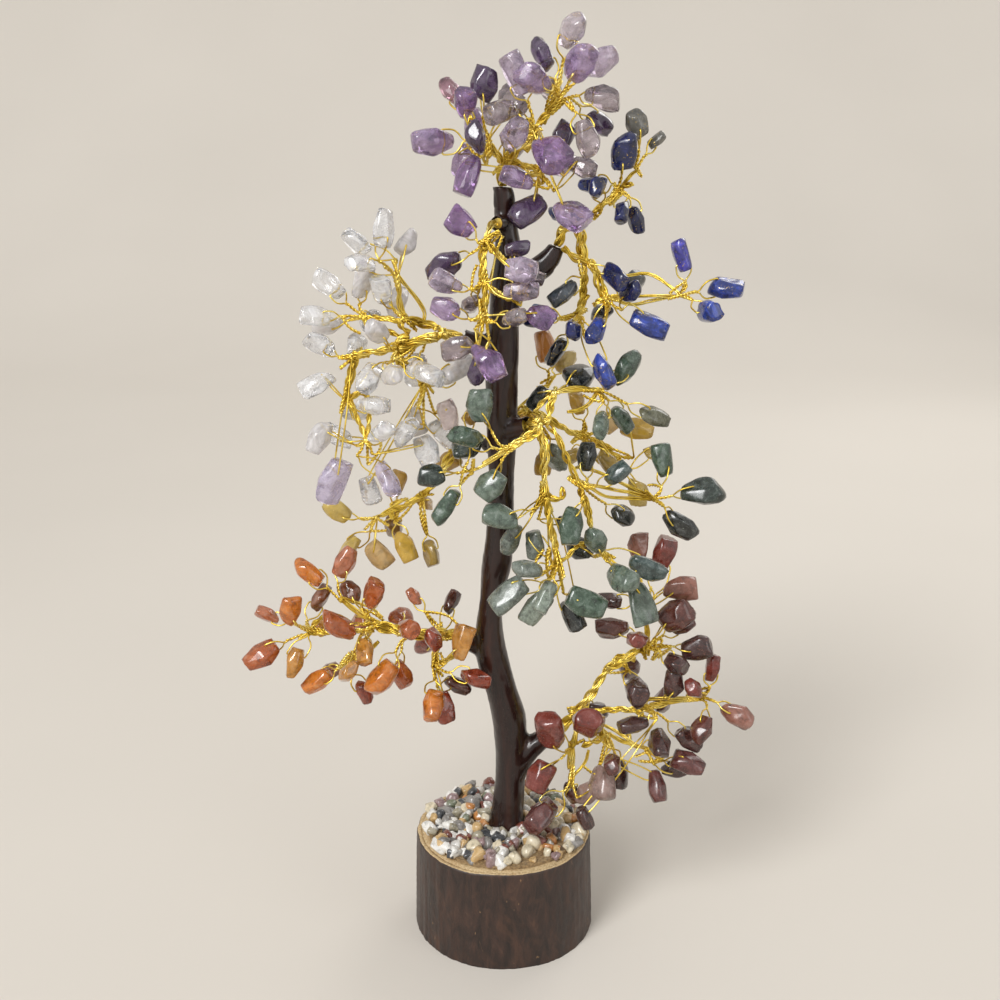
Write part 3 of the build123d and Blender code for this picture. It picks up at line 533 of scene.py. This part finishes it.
def stone_look(name, tone, clear, blotch=260.0, contrast=0.3, rough=(0.05, 0.16), veil=0.3):
    """Polished stone with dark clouds and pale veils in its colour, and how clear it is."""
    look = Look(name, IOR=1.54, Coat_Weight=0.3, Coat_Roughness=0.04)
    clouds = look.noise(blotch, 6.0, 0.6, twist=0.6)
    pale = [value + veil * (PALE_VEIL - value) for value in tone]
    shades = look.ramp(
        clouds,
        (0.3, colour(tone, 1.0 - contrast)),
        (0.5, colour(tone)),
        (0.72, colour(pale)),
    )
    look.join(shades, "Base Color")
    look.join(look.between(look.noise(900.0, 3.0), rough[0], rough[1]), "Roughness")
    if clear > 0:
        cloud = look.noise(blotch * 0.7, 5.0, 0.65, twist=1.2)
        weight = look.between(cloud, clear * 0.55, min(1.0, clear * 1.25), 0.35, 0.65)
        look.join(weight, "Transmission Weight")
    look.bump(look.noise(420.0, 5.0, 0.6), 0.12, 0.4 * MM)
    return look


def amethyst_look(tone, values):
    clear = {"clear": 0.9, "pale": 0.85, "smoky": 0.8, "dark": 0.5}.get(tone, 0.75)
    return stone_look(f"amethyst_{tone}", values, clear, contrast=0.28).material


def quartz_look(tone, values):
    clear = {"clear": 0.76, "lilac": 0.66}.get(tone, 0.5)
    return stone_look(f"quartz_{tone}", values, clear, contrast=0.05, rough=(0.02, 0.1)).material


def lapis_look(tone, values):
    """Deep blue with pale veins and small brassy flecks."""
    look = Look(f"lapis_{tone}", IOR=1.5, Coat_Weight=0.35, Coat_Roughness=0.05)
    clouds = look.ramp(
        look.noise(330.0, 6.0, 0.62, twist=0.8),
        (0.3, colour(values, 0.6)),
        (0.5, colour(values)),
        (0.68, colour(values, 1.45)),
        (0.8, colour((150, 158, 178))),
    )
    flecks = look.between(look.noise(1500.0, 2.0), 0.0, 1.0, 0.66, 0.7)
    look.join(look.mixed(flecks, clouds, colour((196, 168, 104))), "Base Color")
    look.join(flecks, "Metallic")
    look.join(look.between(look.noise(800.0, 3.0), 0.1, 0.26), "Roughness")
    look.bump(look.noise(420.0, 5.0, 0.6), 0.18, 0.4 * MM)
    return look.material


def aventurine_look(tone, values):
    """Green quartz with a fine glitter of mica."""
    clear = {"grey": 0.35, "pale": 0.35, "sage": 0.2}.get(tone, 0.0)
    look = stone_look(f"aventurine_{tone}", values, clear, blotch=420.0, contrast=0.5, rough=(0.14, 0.32))
    grains = look.between(look.noise(2600.0, 2.0), 0.0, 0.4, 0.6, 0.74)
    clouds = look.surface.inputs["Base Color"].links[0].from_socket
    look.join(look.mixed(grains, clouds, colour((164, 174, 162))), "Base Color")
    return look.material


def yellow_look(tone, values):
    look = stone_look(f"yellow_{tone}", values, 0.22, contrast=0.2, rough=(0.12, 0.28), veil=0.15)
    return look.material


def carnelian_look(tone, values):
    clear = {"dark": 0.1, "brown": 0.15}.get(tone, 0.5)
    return stone_look(f"carnelian_{tone}", values, clear, blotch=330.0, contrast=0.36).material


def jasper_look(tone, values):
    """Opaque brown-red stone with mottling."""
    look = stone_look(
        f"jasper_{tone}", values, 0.0, blotch=300.0, contrast=0.4, rough=(0.14, 0.32), veil=0.16
    )
    specks = look.between(look.noise(1500.0, 3.0), 0.0, 0.4, 0.58, 0.7)
    clouds = look.surface.inputs["Base Color"].links[0].from_socket
    look.join(look.mixed(specks, clouds, colour((156, 98, 82))), "Base Color")
    return look.material


# Stone family of each branch: colours, material and how sharp the stones are
FAMILIES = {
    "amethyst_crown": (AMETHYST, amethyst_look, 15.0),
    "amethyst_drop": (AMETHYST, amethyst_look, 15.0),
    "lapis": (LAPIS, lapis_look, 22.0),
    "quartz": (QUARTZ, quartz_look, 18.0),
    "aventurine": (AVENTURINE, aventurine_look, 16.0),
    "yellow_left": (YELLOW, yellow_look, 24.0),
    "yellow_right": (YELLOW, yellow_look, 24.0),
    "carnelian": (CARNELIAN, carnelian_look, 20.0),
    "jasper": (JASPER, jasper_look, 24.0),
}


def wire_look():
    """Bright drawn brass, darker where it is tarnished."""
    look = Look("twisted_brass", Metallic=1.0)
    tarnish = look.noise(160.0, 4.0, 0.6)
    shades = look.ramp(
        tarnish,
        (0.3, colour((164, 130, 38))),
        (0.48, colour((232, 202, 86))),
        (0.7, colour((250, 232, 142))),
    )
    look.join(shades, "Base Color")
    look.join(look.between(tarnish, 0.42, 0.24), "Roughness")
    return look.material


def lacquer_look():
    """Dark brown wood under thick gloss lacquer, with faint grain along the stem."""
    look = Look("stem_lacquer", Coat_Weight=0.35, Coat_Roughness=0.1, IOR=1.4)
    grain = look.noise(150.0, 6.0, 0.65, look.stretched((1.0, 1.0, 0.12)), 0.8)
    shades = look.ramp(
        grain,
        (0.3, colour((20, 9, 8))),
        (0.5, colour((36, 18, 14))),
        (0.72, colour((64, 34, 24))),
    )
    look.join(shades, "Base Color")
    look.join(look.between(grain, 0.2, 0.38), "Roughness")
    look.bump(grain, 0.25, 0.5 * MM)
    return look.material


def bark_look():
    """Dark stained bark with upright streaks, red-brown worn patches and a few pale scratches."""
    look = Look("stained_bark", Coat_Weight=0.1, Coat_Roughness=0.3)
    streaks = look.noise(240.0, 8.0, 0.68, look.stretched((1.0, 1.0, 0.3)), 0.8)
    shades = look.ramp(
        streaks,
        (0.28, colour((24, 17, 14))),
        (0.46, colour((44, 30, 24))),
        (0.6, colour((62, 42, 33))),
        (0.78, colour((94, 67, 50))),
    )
    wear = look.noise(110.0, 5.0, 0.6, look.stretched((1.0, 1.0, 0.6)), 1.0)
    patches = look.mixed(look.between(wear, 0.0, 0.55, 0.52, 0.68), shades, colour((78, 52, 38)))
    lines = look.noise(330.0, 2.0, 0.5, look.stretched((1.0, 1.0, 0.3)), 2.5)
    scratched = look.mixed(look.between(lines, 0.0, 0.7, 0.72, 0.76), patches, colour((150, 116, 82)))
    look.join(scratched, "Base Color")
    look.join(look.between(streaks, 0.36, 0.62), "Roughness")
    look.bump(streaks, 0.6, 0.7 * MM)
    return look.material


def rim_look():
    """Sawn end grain with sand stuck to it."""
    look = Look("sawn_rim")
    sand = look.noise(1400.0, 4.0, 0.7)
    stains = look.noise(90.0, 5.0, 0.6)
    shades = look.ramp(
        sand,
        (0.25, colour((138, 112, 78))),
        (0.5, colour((202, 176, 132))),
        (0.75, colour((232, 214, 178))),
    )
    stained = look.mixed(look.between(stains, 0.0, 0.4, 0.5, 0.72), shades, colour((168, 126, 76)))
    look.join(stained, "Base Color")
    look.join(look.between(sand, 0.6, 0.85), "Roughness")
    look.bump(sand, 0.6, 0.5 * MM)
    return look.material


def glue_look():
    """Set glue full of sand, between the pebbles."""
    look = Look("sandy_glue", Coat_Weight=0.4, Coat_Roughness=0.2)
    sand = look.noise(1200.0, 4.0, 0.7)
    shades = look.ramp(
        sand,
        (0.3, colour((92, 74, 54))),
        (0.55, colour((156, 130, 94))),
        (0.75, colour((196, 174, 134))),
    )
    look.join(shades, "Base Color")
    look.join(look.between(sand, 0.35, 0.6), "Roughness")
    look.bump(sand, 0.5, 0.5 * MM)
    return look.material


def gravel_look(name, values):
    look = stone_look(f"gravel_{name}", values, 0.0, blotch=380.0, contrast=0.3, rough=(0.16, 0.4))
    return look.material


# Branches


def add_stones(branch):
    """Tumbled stones in place of a branch's chips. Returns each hole, its direction and its mouths."""
    tones, make_look, softness = FAMILIES[branch]
    names = list(tones)
    words = STONE_TONES[branch].split()
    directions, triangles = ball_directions(STONE_DETAIL)
    rng = np.random.default_rng(BRANCHES.index(branch) + 11)
    forms = [chip_form(*solid) for solid in solids_of(f"{branch}_chips")]
    forms.sort(key=lambda form: -form[1][2])
    build = Build()
    holes = []
    for number, (planes, centre, hole, drilled) in enumerate(forms):
        reach, sharp = tumbled(directions, planes, centre, softness, rng)
        reach = reach * uneven(directions, number + softness, *STONE_LUMPS)
        reach = reach * dented(directions, rng, DENT_DEPTH)
        points = centre + directions * kept_inside(reach, sharp)[:, None]
        build.add(points, triangles, names.index(words[number % len(words)]))
        tree = BVHTree.FromPolygons(points.tolist(), triangles.tolist())
        mouths = []
        for way in (drilled, -drilled):
            hit = tree.ray_cast(Vector(hole), Vector(way))
            mouths.append(hit[3] or 2.0 * MM)
        holes.append((hole, drilled, mouths))
    looks = [make_look(tone, values) for tone, values in tones.items()]
    build.piece(f"{branch}_stones", branch, f"{branch}_stone", looks, [f"{branch}_chips"])
    return holes


def loop_route(end, hole, drilled, mouths):
    """Bare wire from a twig's end, down one side of a stone, through its hole and back."""
    toward = unit(hole - end)
    reach = np.linalg.norm(hole - end)
    sides = []
    for way, mouth in zip((drilled, -drilled), mouths):
        out = mouth + 1.1 * WIRE_RADIUS
        sides.append(
            [
                end + way * WIRE_RADIUS,
                end + way * WIRE_RADIUS + toward * 0.12 * reach,
                end + way * out * 0.6 + toward * 0.26 * reach,
                end + way * out + toward * 0.46 * reach,
                end + way * out * 1.06 + toward * 0.74 * reach,
                end + way * out * 1.06 + toward * 0.95 * reach,
                hole + way * out * 0.8,
                hole + way * mouth * 0.3,
            ]
        )
    return smoothed(np.array(sides[0] + sides[1][::-1]), 3)


def add_pair(build, route, hole, drilled, mouths):
    """One wire: up a twig, through its stone and down again, twisted with itself."""
    path, lengths = resample(smoothed(route, 2), WIRE_STEP)
    _, first, second = carried_frames(path)
    last = math.atan2(drilled @ second[-1], drilled @ first[-1])
    turns = last - 2 * math.pi * (lengths[-1] - lengths) / PAIR_PITCH
    offset = WIRE_RADIUS * (np.cos(turns)[:, None] * first + np.sin(turns)[:, None] * second)
    loop, _ = resample(loop_route(path[-1], hole, drilled, mouths), WIRE_STEP)
    add_tube(build, np.concatenate((path + offset, loop[1:-1], (path - offset)[::-1])), WIRE_RADIUS)


def parting(route, ends):
    """Route that first runs along the end of the bundle that it leaves."""
    apart = [np.linalg.norm(route[0] - end) for end, _ in ends]
    end, heading = ends[int(np.argmin(apart))]
    out = route[0] - end
    out = out - heading * (out @ heading)
    lead = [end - heading * before + out * share for before, share in PARTING]
    return np.concatenate((lead, route))


def add_pairs(branch, holes, ends, look):
    build = Build()
    lines = [middle_line(*solid)[0] for solid in solids_of(f"{branch}_twigs")]
    for hole, drilled, mouths in holes:
        apart = [min(np.linalg.norm(line[end] - hole) for end in (0, -1)) for line in lines]
        line = lines.pop(int(np.argmin(apart)))
        if np.linalg.norm(line[0] - hole) < np.linalg.norm(line[-1] - hole):
            line = line[::-1]
        add_pair(build, parting(line, ends), hole, drilled, mouths)
    build.piece(f"{branch}_wires", branch, "brass_wire", [look], [f"{branch}_twigs", f"{branch}_loops"])


def add_rope(build, path, lengths, radius, rng):
    """Twisted bundle: strands of several wires wound round each other, drawn in at both ends."""
    _, first, second = carried_frames(path)
    left = lengths[-1] - lengths
    drawn = radius * (1.0 - TAIL_SHARE * np.clip(1.0 - left / TAIL_LENGTH, 0.0, 1.0) ** 2)
    drawn = drawn * (1.0 - ROOT_SHARE * np.clip(1.0 - lengths / ROOT_LENGTH, 0.0, 1.0) ** 2)
    strands = 1 + (radius >= TWO_STRANDS_FROM) + (radius >= THREE_STRANDS_FROM)
    share = STRAND_SHARES[strands]
    for strand in range(strands):
        orbit = drawn * (1.0 - share)
        turn = 2 * math.pi * (strand / strands + lengths / (ROPE_PITCH * radius)) + rng.uniform(0, 0.6)
        outward = np.cos(turn)[:, None] * first + np.sin(turn)[:, None] * second
        sideways = -np.sin(turn)[:, None] * first + np.cos(turn)[:, None] * second
        core = path + orbit[:, None] * outward
        round_core = np.maximum(drawn * share - WIRE_RADIUS, 1.05 * WIRE_RADIUS)
        wires = max(3, int(math.pi * (radius * share - WIRE_RADIUS) / WIRE_RADIUS * 0.95))
        for wire in range(wires):
            mean = rng.uniform(0.82, 1.12)
            wander = mean + WANDER * np.sin(lengths / WANDER_LENGTH + rng.uniform(0, 6.3))
            turned = wire / wires - lengths / (STRAND_PITCH * radius * share)
            spin = 2 * math.pi * turned + rng.uniform(-0.25, 0.25)
            offset = np.cos(spin)[:, None] * outward + np.sin(spin)[:, None] * sideways
            add_tube(build, core + (round_core * wander)[:, None] * offset, WIRE_RADIUS, 5)


def rope_routes(branch):
    """Route from the stem outwards and radius of each bundle, the one in the stub first."""
    mouth = MOUTHS[branch]
    routes = []
    for points, triangles in solids_of(f"{branch}_stems"):
        is_first = np.linalg.norm(points - mouth, axis=1).min() < STUB_REACH
        route, radius = middle_line(points, triangles, mouth if is_first else None)
        if not is_first and np.linalg.norm(route[-1] - mouth) < np.linalg.norm(route[0] - mouth):
            route = route[::-1]
        routes.insert(0 if is_first else len(routes), (route, radius))
    return routes


def add_ropes(branch, look):
    """Bundles of a branch. Returns the end of each and its heading there."""
    build = Build()
    rng = np.random.default_rng(BRANCHES.index(branch) + 31)
    routes = rope_routes(branch)
    ends = [(route[-1], unit(route[-1] - route[-2])) for route, _ in routes]
    for number, (route, radius) in enumerate(routes):
        if number > 0:
            route = parting(route, ends[:number] + ends[number + 1:])
        path, lengths = resample(smoothed(route, 2), ROPE_STEP)
        add_rope(build, path, lengths, ROPE_SHARE * radius, rng)
    build.piece(f"{branch}_ropes", branch, "brass_wire", [look], [f"{branch}_stems"])
    return ends


# Stem


def evaluated_copy(piece):
    """Mesh of a piece with its modifiers applied."""
    depsgraph = bpy.context.evaluated_depsgraph_get()
    return bpy.data.meshes.new_from_object(piece.evaluated_get(depsgraph))


def make_trunk():
    """Stem with the lumps, hollows and long ridges of a natural shoot, in place of the smooth solid."""
    source = frame["nodes"]["trunk"].data.copy()
    shell = bmesh.new()
    shell.from_mesh(source)
    bmesh.ops.remove_doubles(shell, verts=shell.verts, dist=2 * FLAT_TOLERANCE)
    shell.to_mesh(source)
    shell.free()
    draft = bpy.data.objects.new("stem_draft", source)
    bpy.context.scene.collection.objects.link(draft)
    remesh = draft.modifiers.new("even", "REMESH")
    remesh.mode = "VOXEL"
    remesh.voxel_size = TRUNK_VOXEL
    smooth = draft.modifiers.new("soft", "SMOOTH")
    smooth.factor = 0.5
    smooth.iterations = 6
    mesh = evaluated_copy(draft)
    bpy.data.objects.remove(draft)
    for vertex, normal in zip(mesh.vertices, [entry.vector.copy() for entry in mesh.vertex_normals]):
        place = vertex.co
        lumps = noise.noise(Vector((place.x * 70, place.y * 70, place.z * 55)))
        ridges = noise.noise(Vector((place.x * 260, place.y * 260, place.z * 30)))
        pits = noise.noise(place * 420)
        out = TRUNK_LUMPS * lumps + TRUNK_RIDGES * ridges + TRUNK_PITS * pits - TRUNK_TRIM
        vertex.co = place + normal * out
    mesh.polygons.foreach_set("use_smooth", np.ones(len(mesh.polygons), bool))
    mesh.materials.clear()
    mesh.materials.append(lacquer_look())
    stem = bpy.data.objects.new("stem_wood", mesh)
    bpy.context.scene.collection.objects.link(stem)
    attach(stem, "base")
    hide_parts("trunk")


# Log and gravel


def add_turned(build, profile, segments, shape, tones=None):
    """Closed profile of radius and height turned round Z, with each point placed by a function."""
    turns = np.linspace(0.0, 2 * math.pi, segments, endpoint=False)
    points = []
    for turn in turns:
        for radius, height in profile:
            points.append(shape(turn, radius, height))
    steps = len(profile)
    here = np.arange(segments)[:, None] * steps + np.arange(steps)[None, :]
    along = np.arange(segments)[:, None] * steps + (np.arange(steps)[None, :] + 1) % steps
    quads = np.stack((here, along, np.roll(along, -1, axis=0), np.roll(here, -1, axis=0)), axis=2)
    build.add(np.array(points), quads.reshape(-1, 4)[:, ::-1])
    if tones is not None:
        build.tones[-1] = np.tile(tones, segments)


def log_wave(turn, height):
    """How far the log's side stands out at a place: soft lobes, upright ridges and a rough skin."""
    around = Vector((math.cos(turn), math.sin(turn), 0.0))
    lobes = noise.noise(around * 1.3 + Vector((0, 0, height * 12)))
    ridges = noise.noise(around * 11.0 + Vector((0, 0, height * 16)))
    fibres = noise.noise(around * 38.0 + Vector((0, 0, height * 60)))
    skin = noise.noise(around * 70.0 + Vector((0, 0, height * 500)))
    return (0.6 * lobes + 0.22 * ridges + 0.16 * fibres + 0.1 * skin) * MM


def make_log():
    low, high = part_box("log_bark")
    foot = (high.x - low.x) / 2
    height = high.z
    core_low, core_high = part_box("log_core")
    core_foot = (core_high.x - core_low.x) / 2
    bark_width = foot - core_foot
    taper = LOG_TAPER
    top = foot - taper
    shares = [level / BARK_LEVELS for level in range(BARK_LEVELS)]
    side = [(foot - taper * share, height * share) for share in shares]
    edge = [
        (top - 0.25 * MM, height - 0.15 * MM),
        (top - 0.5 * MM, height),
        (top - 0.7 * bark_width, height),
    ]
    inner = [(top - bark_width, height - 0.2 * MM), (core_foot, 0.0)]

    def bark_shape(turn, radius, level):
        wave = log_wave(turn, level) if radius > core_foot - 0.9 * taper else 0.3 * log_wave(turn, height)
        around = Vector((math.cos(turn), math.sin(turn), 0))
        rise = RIM_RISE * noise.noise(around * 4) if level > 0.9 * height else 0
        return ((radius + wave) * math.cos(turn), (radius + wave) * math.sin(turn), max(0.0, level + rise))

    sawn = rim_look()
    profile = side + edge + inner
    sawn_from = len(side)
    tones = [1 if sawn_from <= step < sawn_from + len(edge) else 0 for step in range(len(profile))]
    build = Build()
    add_turned(build, profile, BARK_SEGMENTS, bark_shape, tones)
    build.piece("log_bark_skin", "base", "bark", [bark_look(), sawn], ["log_bark"])

    core_top = core_foot - taper
    hollow = CORE_HOLLOW
    rings = [(core_top - (core_top - hollow) * ring / RIM_RINGS, height) for ring in range(RIM_RINGS + 1)]

    def core_shape(turn, radius, level):
        place = Vector((radius * math.cos(turn), radius * math.sin(turn), level))
        sand = noise.noise(place * 700) + noise.noise(place * 160) if level > 0 else 0
        return (place.x, place.y, level + SAND_HEIGHT * sand)

    build = Build()
    add_turned(build, [(hollow, 0.0), (core_foot, 0.0)] + rings, BARK_SEGMENTS, core_shape)
    build.piece("log_wood_core", "base", "log_wood", [sawn], ["log_core"])
    frame["nodes"]["glue_bed"].data.materials.clear()
    frame["nodes"]["glue_bed"].data.materials.append(glue_look())


GRAVEL = {
    "white": {"white": (232, 230, 224), "cream": (218, 206, 178)},
    "grey": {"slate": (66, 68, 72), "ash": (130, 126, 122)},
    "amber": {"amber": (186, 124, 62), "sand": (204, 170, 116)},
    "red": {"brick": (118, 62, 48), "mauve": (150, 124, 124)},
    "green": {"moss": (108, 114, 92), "drab": (158, 150, 128)},
}
# How often each of these tones comes up among the small pebbles
FILL_SHARES = (4, 3, 1, 1.5, 1, 2, 0.5, 0.5, 0.5, 1.5)


def make_gravel():
    """Broken pebbles in place of the plain ones, and small ones between them."""
    directions, triangles = ball_directions(STONE_DETAIL - 1)
    rng = np.random.default_rng(5)
    looks = {}
    for group, tones in GRAVEL.items():
        looks[group] = [gravel_look(tone, values) for tone, values in tones.items()]
        build = Build()
        for number, solid in enumerate(solids_of(f"gravel_{group}")):
            planes, centre, _, _ = chip_form(*solid)
            reach, _ = tumbled(directions, planes, centre, PEBBLE_SHARPNESS, rng)
            reach = reach * uneven(directions, number + 3, 0.08, 0.03) * rng.uniform(*PEBBLE_SWELL)
            build.add(centre + directions * reach[:, None], triangles, number % len(tones))
        build.piece(f"gravel_{group}_pebbles", "base", f"gravel_{group}", looks[group], [f"gravel_{group}"])
    low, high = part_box("glue_bed")
    bed = (high.x - low.x) / 2
    all_looks = [look for group in looks.values() for look in group]
    shares = np.array(FILL_SHARES) / sum(FILL_SHARES)
    trunk_points = solids_of("trunk")[0][0]
    foot = trunk_points[np.abs(trunk_points[:, 2] - low.z) < FLAT_TOLERANCE]
    foot_low, foot_high = foot.min(axis=0), foot.max(axis=0)
    build = Build()
    for number in range(FILL_PEBBLES + FOOT_PEBBLES):
        size = rng.uniform(*FILL_SIZE)
        turn = rng.uniform(0, 2 * math.pi)
        middle = np.zeros(2)
        distance = FILL_REACH * bed * math.sqrt(rng.uniform(0.09, 1.0))
        if number < FOOT_PEBBLES:
            middle = (foot_low + foot_high)[:2] / 2
            distance = (foot_high - foot_low)[0] / 2 + 0.3 * size
            turn = 2 * math.pi * number / FOOT_PEBBLES
        flat = middle + distance * np.array((math.cos(turn), math.sin(turn)))
        centre = np.array((*flat, high.z + size * rng.uniform(0.1, 0.9)))
        axes, _ = np.linalg.qr(rng.normal(size=(3, 3)))
        sides = np.concatenate((axes, -axes))
        depths = size * np.tile(rng.uniform(*FILL_FLATNESS, 3), 2)
        planes = np.column_stack((sides, sides @ centre + depths))
        reach, _ = tumbled(directions, planes, centre, PEBBLE_SHARPNESS, rng)
        reach = reach * uneven(directions, number + 60, 0.12, 0.04)
        build.add(centre + directions * reach[:, None], triangles, rng.choice(len(all_looks), p=shares))
    build.piece("gravel_fill", "base", "gravel_amber", all_looks)


# Stage


def make_stage():
    """Pale floor that curves up into a backdrop, soft lamps and the camera."""
    floor_look = Look("pale_sweep", Roughness=0.9)
    shade = floor_look.noise(3.0, 2.0)
    shades = floor_look.ramp(shade, (0.3, colour((214, 208, 199))), (0.7, colour((218, 212, 203))))
    floor_look.join(shades, "Base Color")
    front, back, bend, tall, half = -3.0, 0.9, 0.9, 3.0, 4.0
    profile = [(front, 0.0), (back, 0.0)]
    for step in range(1, 17):
        turn = step / 16 * math.pi / 2
        profile.append((back + bend * math.sin(turn), bend * (1 - math.cos(turn))))
    profile.append((back + bend, tall))
    points = [(x, y, z) for y, z in profile for x in (-half, half)]
    faces = [(2 * n, 2 * n + 1, 2 * n + 3, 2 * n + 2) for n in range(len(profile) - 1)]
    mesh = bpy.data.meshes.new("sweep")
    mesh.from_pydata(points, [], faces)
    mesh.materials.append(floor_look.material)
    mesh.polygons.foreach_set("use_smooth", np.ones(len(faces), bool))
    floor = bpy.data.objects.new("sweep", mesh)
    bpy.context.scene.collection.objects.link(floor)

    data = bpy.data.lights.new("window_light", "SUN")
    data.energy = 1.5
    data.angle = math.radians(24)
    sun = bpy.data.objects.new("window_light", data)
    sun.rotation_euler = Vector((0.5, 0.75, -0.8)).to_track_quat("-Z", "Y").to_euler()
    bpy.context.scene.collection.objects.link(sun)
    target = Vector((0, 0, 0.15))
    for name, place, size, power in (
        ("key_lamp", (-0.55, -0.75, 0.75), (0.35, 0.7), 3.5),
        ("fill_lamp", (0.8, -0.6, 0.45), (0.5, 0.5), 1.2),
        ("back_lamp", (0.5, 0.7, 0.7), (0.5, 0.5), 2.0),
    ):
        data = bpy.data.lights.new(name, "AREA")
        data.shape = "RECTANGLE"
        data.size, data.size_y = size
        data.energy = power
        lamp = bpy.data.objects.new(name, data)
        lamp.location = place
        lamp.rotation_euler = (target - Vector(place)).to_track_quat("-Z", "Y").to_euler()
        bpy.context.scene.collection.objects.link(lamp)

    world = bpy.data.worlds.new("studio")
    world.use_nodes = True
    nodes = world.node_tree.nodes
    links = world.node_tree.links
    nodes["Background"].inputs["Color"].default_value = (1.0, 0.98, 0.95, 1.0)
    rays = nodes.new("ShaderNodeLightPath")
    seen = rays.outputs["Is Camera Ray"]
    for kind in ("Is Glossy Ray", "Is Transmission Ray"):
        either = nodes.new("ShaderNodeMath")
        either.operation = "MAXIMUM"
        links.new(seen, either.inputs[0])
        links.new(rays.outputs[kind], either.inputs[1])
        seen = either.outputs["Value"]
    strength = nodes.new("ShaderNodeMapRange")
    strength.inputs["To Min"].default_value = AMBIENT_LIGHT
    strength.inputs["To Max"].default_value = AMBIENT_SEEN
    links.new(seen, strength.inputs["Value"])
    links.new(strength.outputs["Result"], nodes["Background"].inputs["Strength"])
    bpy.context.scene.world = world

    data = bpy.data.cameras.new("photo_camera")
    data.lens = CAMERA_LENS
    data.sensor_width = SENSOR_WIDTH
    camera = bpy.data.objects.new("photo_camera", data)
    camera.location = CAMERA_PLACE
    camera.rotation_euler = (math.radians(90 - CAMERA_PITCH), 0, 0)
    bpy.context.scene.collection.objects.link(camera)
    bpy.context.scene.camera = camera
    bpy.context.scene.view_settings.view_transform = "Standard"


make_stage()
brass = wire_look()
for branch_name in BRANCHES:
    stone_holes = add_stones(branch_name)
    rope_ends = add_ropes(branch_name, brass)
    add_pairs(branch_name, stone_holes, rope_ends, brass)
roots = frame["nodes"]["wire_roots"].data.materials
roots.clear()
roots.append(brass)
make_trunk()
make_log()
make_gravel()
